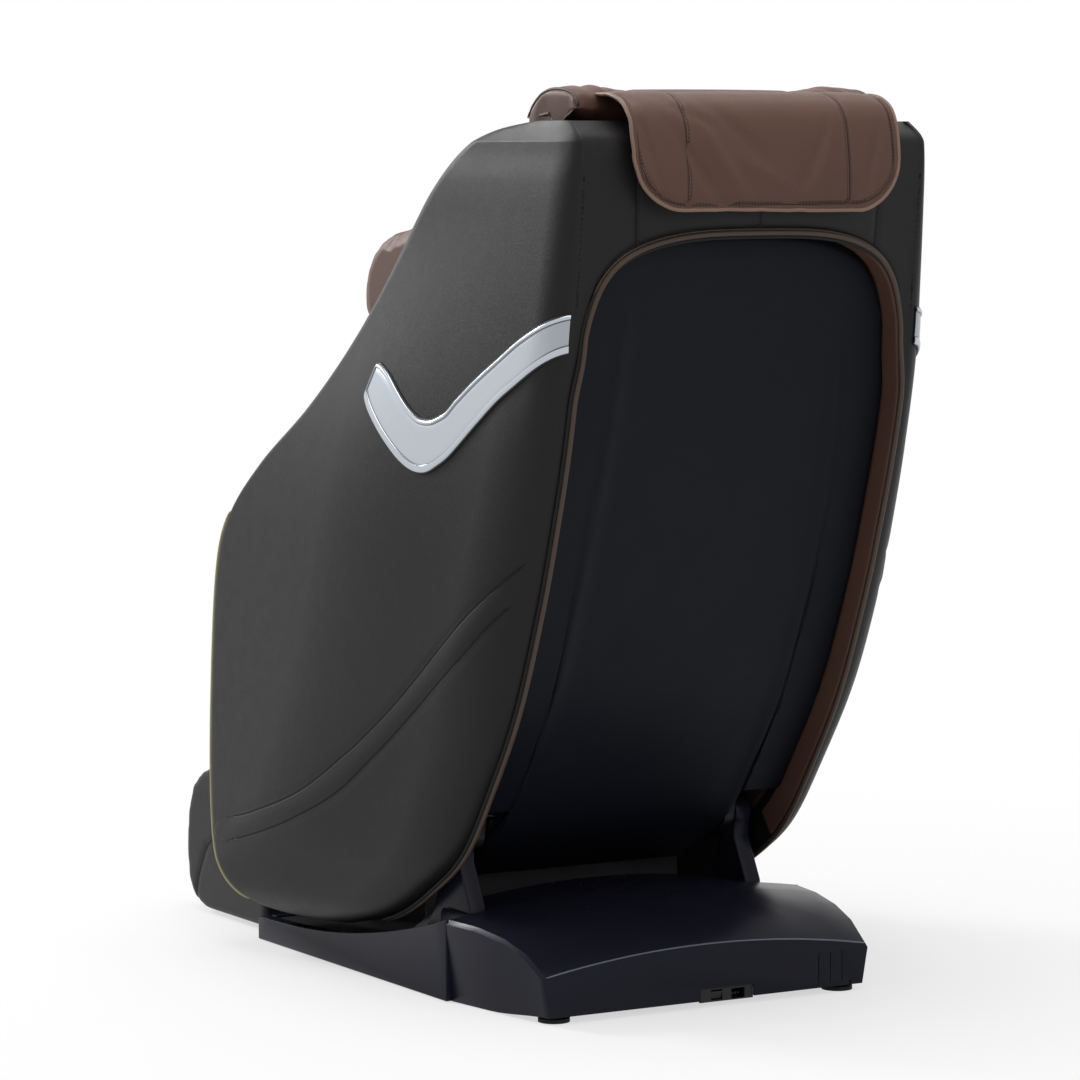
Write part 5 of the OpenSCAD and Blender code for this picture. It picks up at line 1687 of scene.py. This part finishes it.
class CHAIR_OT_seat_and_back(bpy.types.Operator):
    """Makes the seat and back cushions"""
    bl_idname = "chair.seat_and_back"
    bl_label = "Seat and back cushions"

    def execute(self, context):
        make_seat_and_back(context.scene)
        return {"FINISHED"}


class CHAIR_OT_leg_rest(bpy.types.Operator):
    """Makes the leather and the pads of the calf and foot sections"""
    bl_idname = "chair.leg_rest"
    bl_label = "Leg rest"

    def execute(self, context):
        make_leg_rest(context.scene)
        return {"FINISHED"}


class CHAIR_OT_base(bpy.types.Operator):
    """Makes the moulded base covers and the upright brackets"""
    bl_idname = "chair.base"
    bl_label = "Base covers"

    def execute(self, context):
        make_base(context.scene)
        return {"FINISHED"}


class CHAIR_OT_controls(bpy.types.Operator):
    """Makes the control panel and its buttons"""
    bl_idname = "chair.controls"
    bl_label = "Controls"

    def execute(self, context):
        make_controls(context.scene)
        return {"FINISHED"}


class CHAIR_OT_mechanism(bpy.types.Operator):
    """Gives the frame, drives, rollers and wheels their finishes"""
    bl_idname = "chair.mechanism"
    bl_label = "Frame and mechanism"

    def execute(self, context):
        make_mechanism(context.scene)
        return {"FINISHED"}


class CHAIR_OT_stage(bpy.types.Operator):
    """Makes the floor, the lights and the camera"""
    bl_idname = "chair.stage"
    bl_label = "Stage"

    def execute(self, context):
        make_stage(context.scene)
        return {"FINISHED"}


OPERATORS = (CHAIR_OT_finishes, CHAIR_OT_mechanism, CHAIR_OT_side_shells, CHAIR_OT_yoke,
             CHAIR_OT_back_cover, CHAIR_OT_rim, CHAIR_OT_side_trims, CHAIR_OT_head_cushion,
             CHAIR_OT_head_flap, CHAIR_OT_wings_and_pads, CHAIR_OT_seat_and_back, CHAIR_OT_leg_rest,
             CHAIR_OT_base, CHAIR_OT_controls, CHAIR_OT_stage)
SETTINGS = {"chair_leather": LeatherSettings, "chair_trim": TrimSettings, "chair_cushion": CushionSettings,
            "chair_base": BaseSettings, "chair_stage": StageSettings}


class CHAIR_PT_looks(bpy.types.Panel):
    """Lists the settings and the pieces of the massage chair"""
    bl_idname = "CHAIR_PT_looks"
    bl_label = "Massage Chair"
    bl_space_type = "VIEW_3D"
    bl_region_type = "UI"
    bl_category = "Massage Chair"

    def draw(self, context):
        layout = self.layout
        for name in SETTINGS:
            settings = getattr(context.scene, name)
            box = layout.box()
            for key in settings.bl_rna.properties.keys():
                if key not in ("rna_type", "name"):
                    box.prop(settings, key)
        for operator in OPERATORS:
            layout.operator(operator.bl_idname)


def register():
    for kind in (*SETTINGS.values(), *OPERATORS, CHAIR_PT_looks):
        bpy.utils.register_class(kind)
    for name, kind in SETTINGS.items():
        setattr(bpy.types.Scene, name, bpy.props.PointerProperty(type=kind))


def unregister():
    for name in SETTINGS:
        delattr(bpy.types.Scene, name)
    for kind in reversed((*SETTINGS.values(), *OPERATORS, CHAIR_PT_looks)):
        bpy.utils.unregister_class(kind)


def main():
    """Makes every piece in order."""
    register()
    for operator in OPERATORS:
        area, name = operator.bl_idname.split(".")
        if getattr(getattr(bpy.ops, area), name)() != {"FINISHED"}:
            raise RuntimeError("could not finish " + operator.bl_label)


if __name__ == "__main__":
    main()
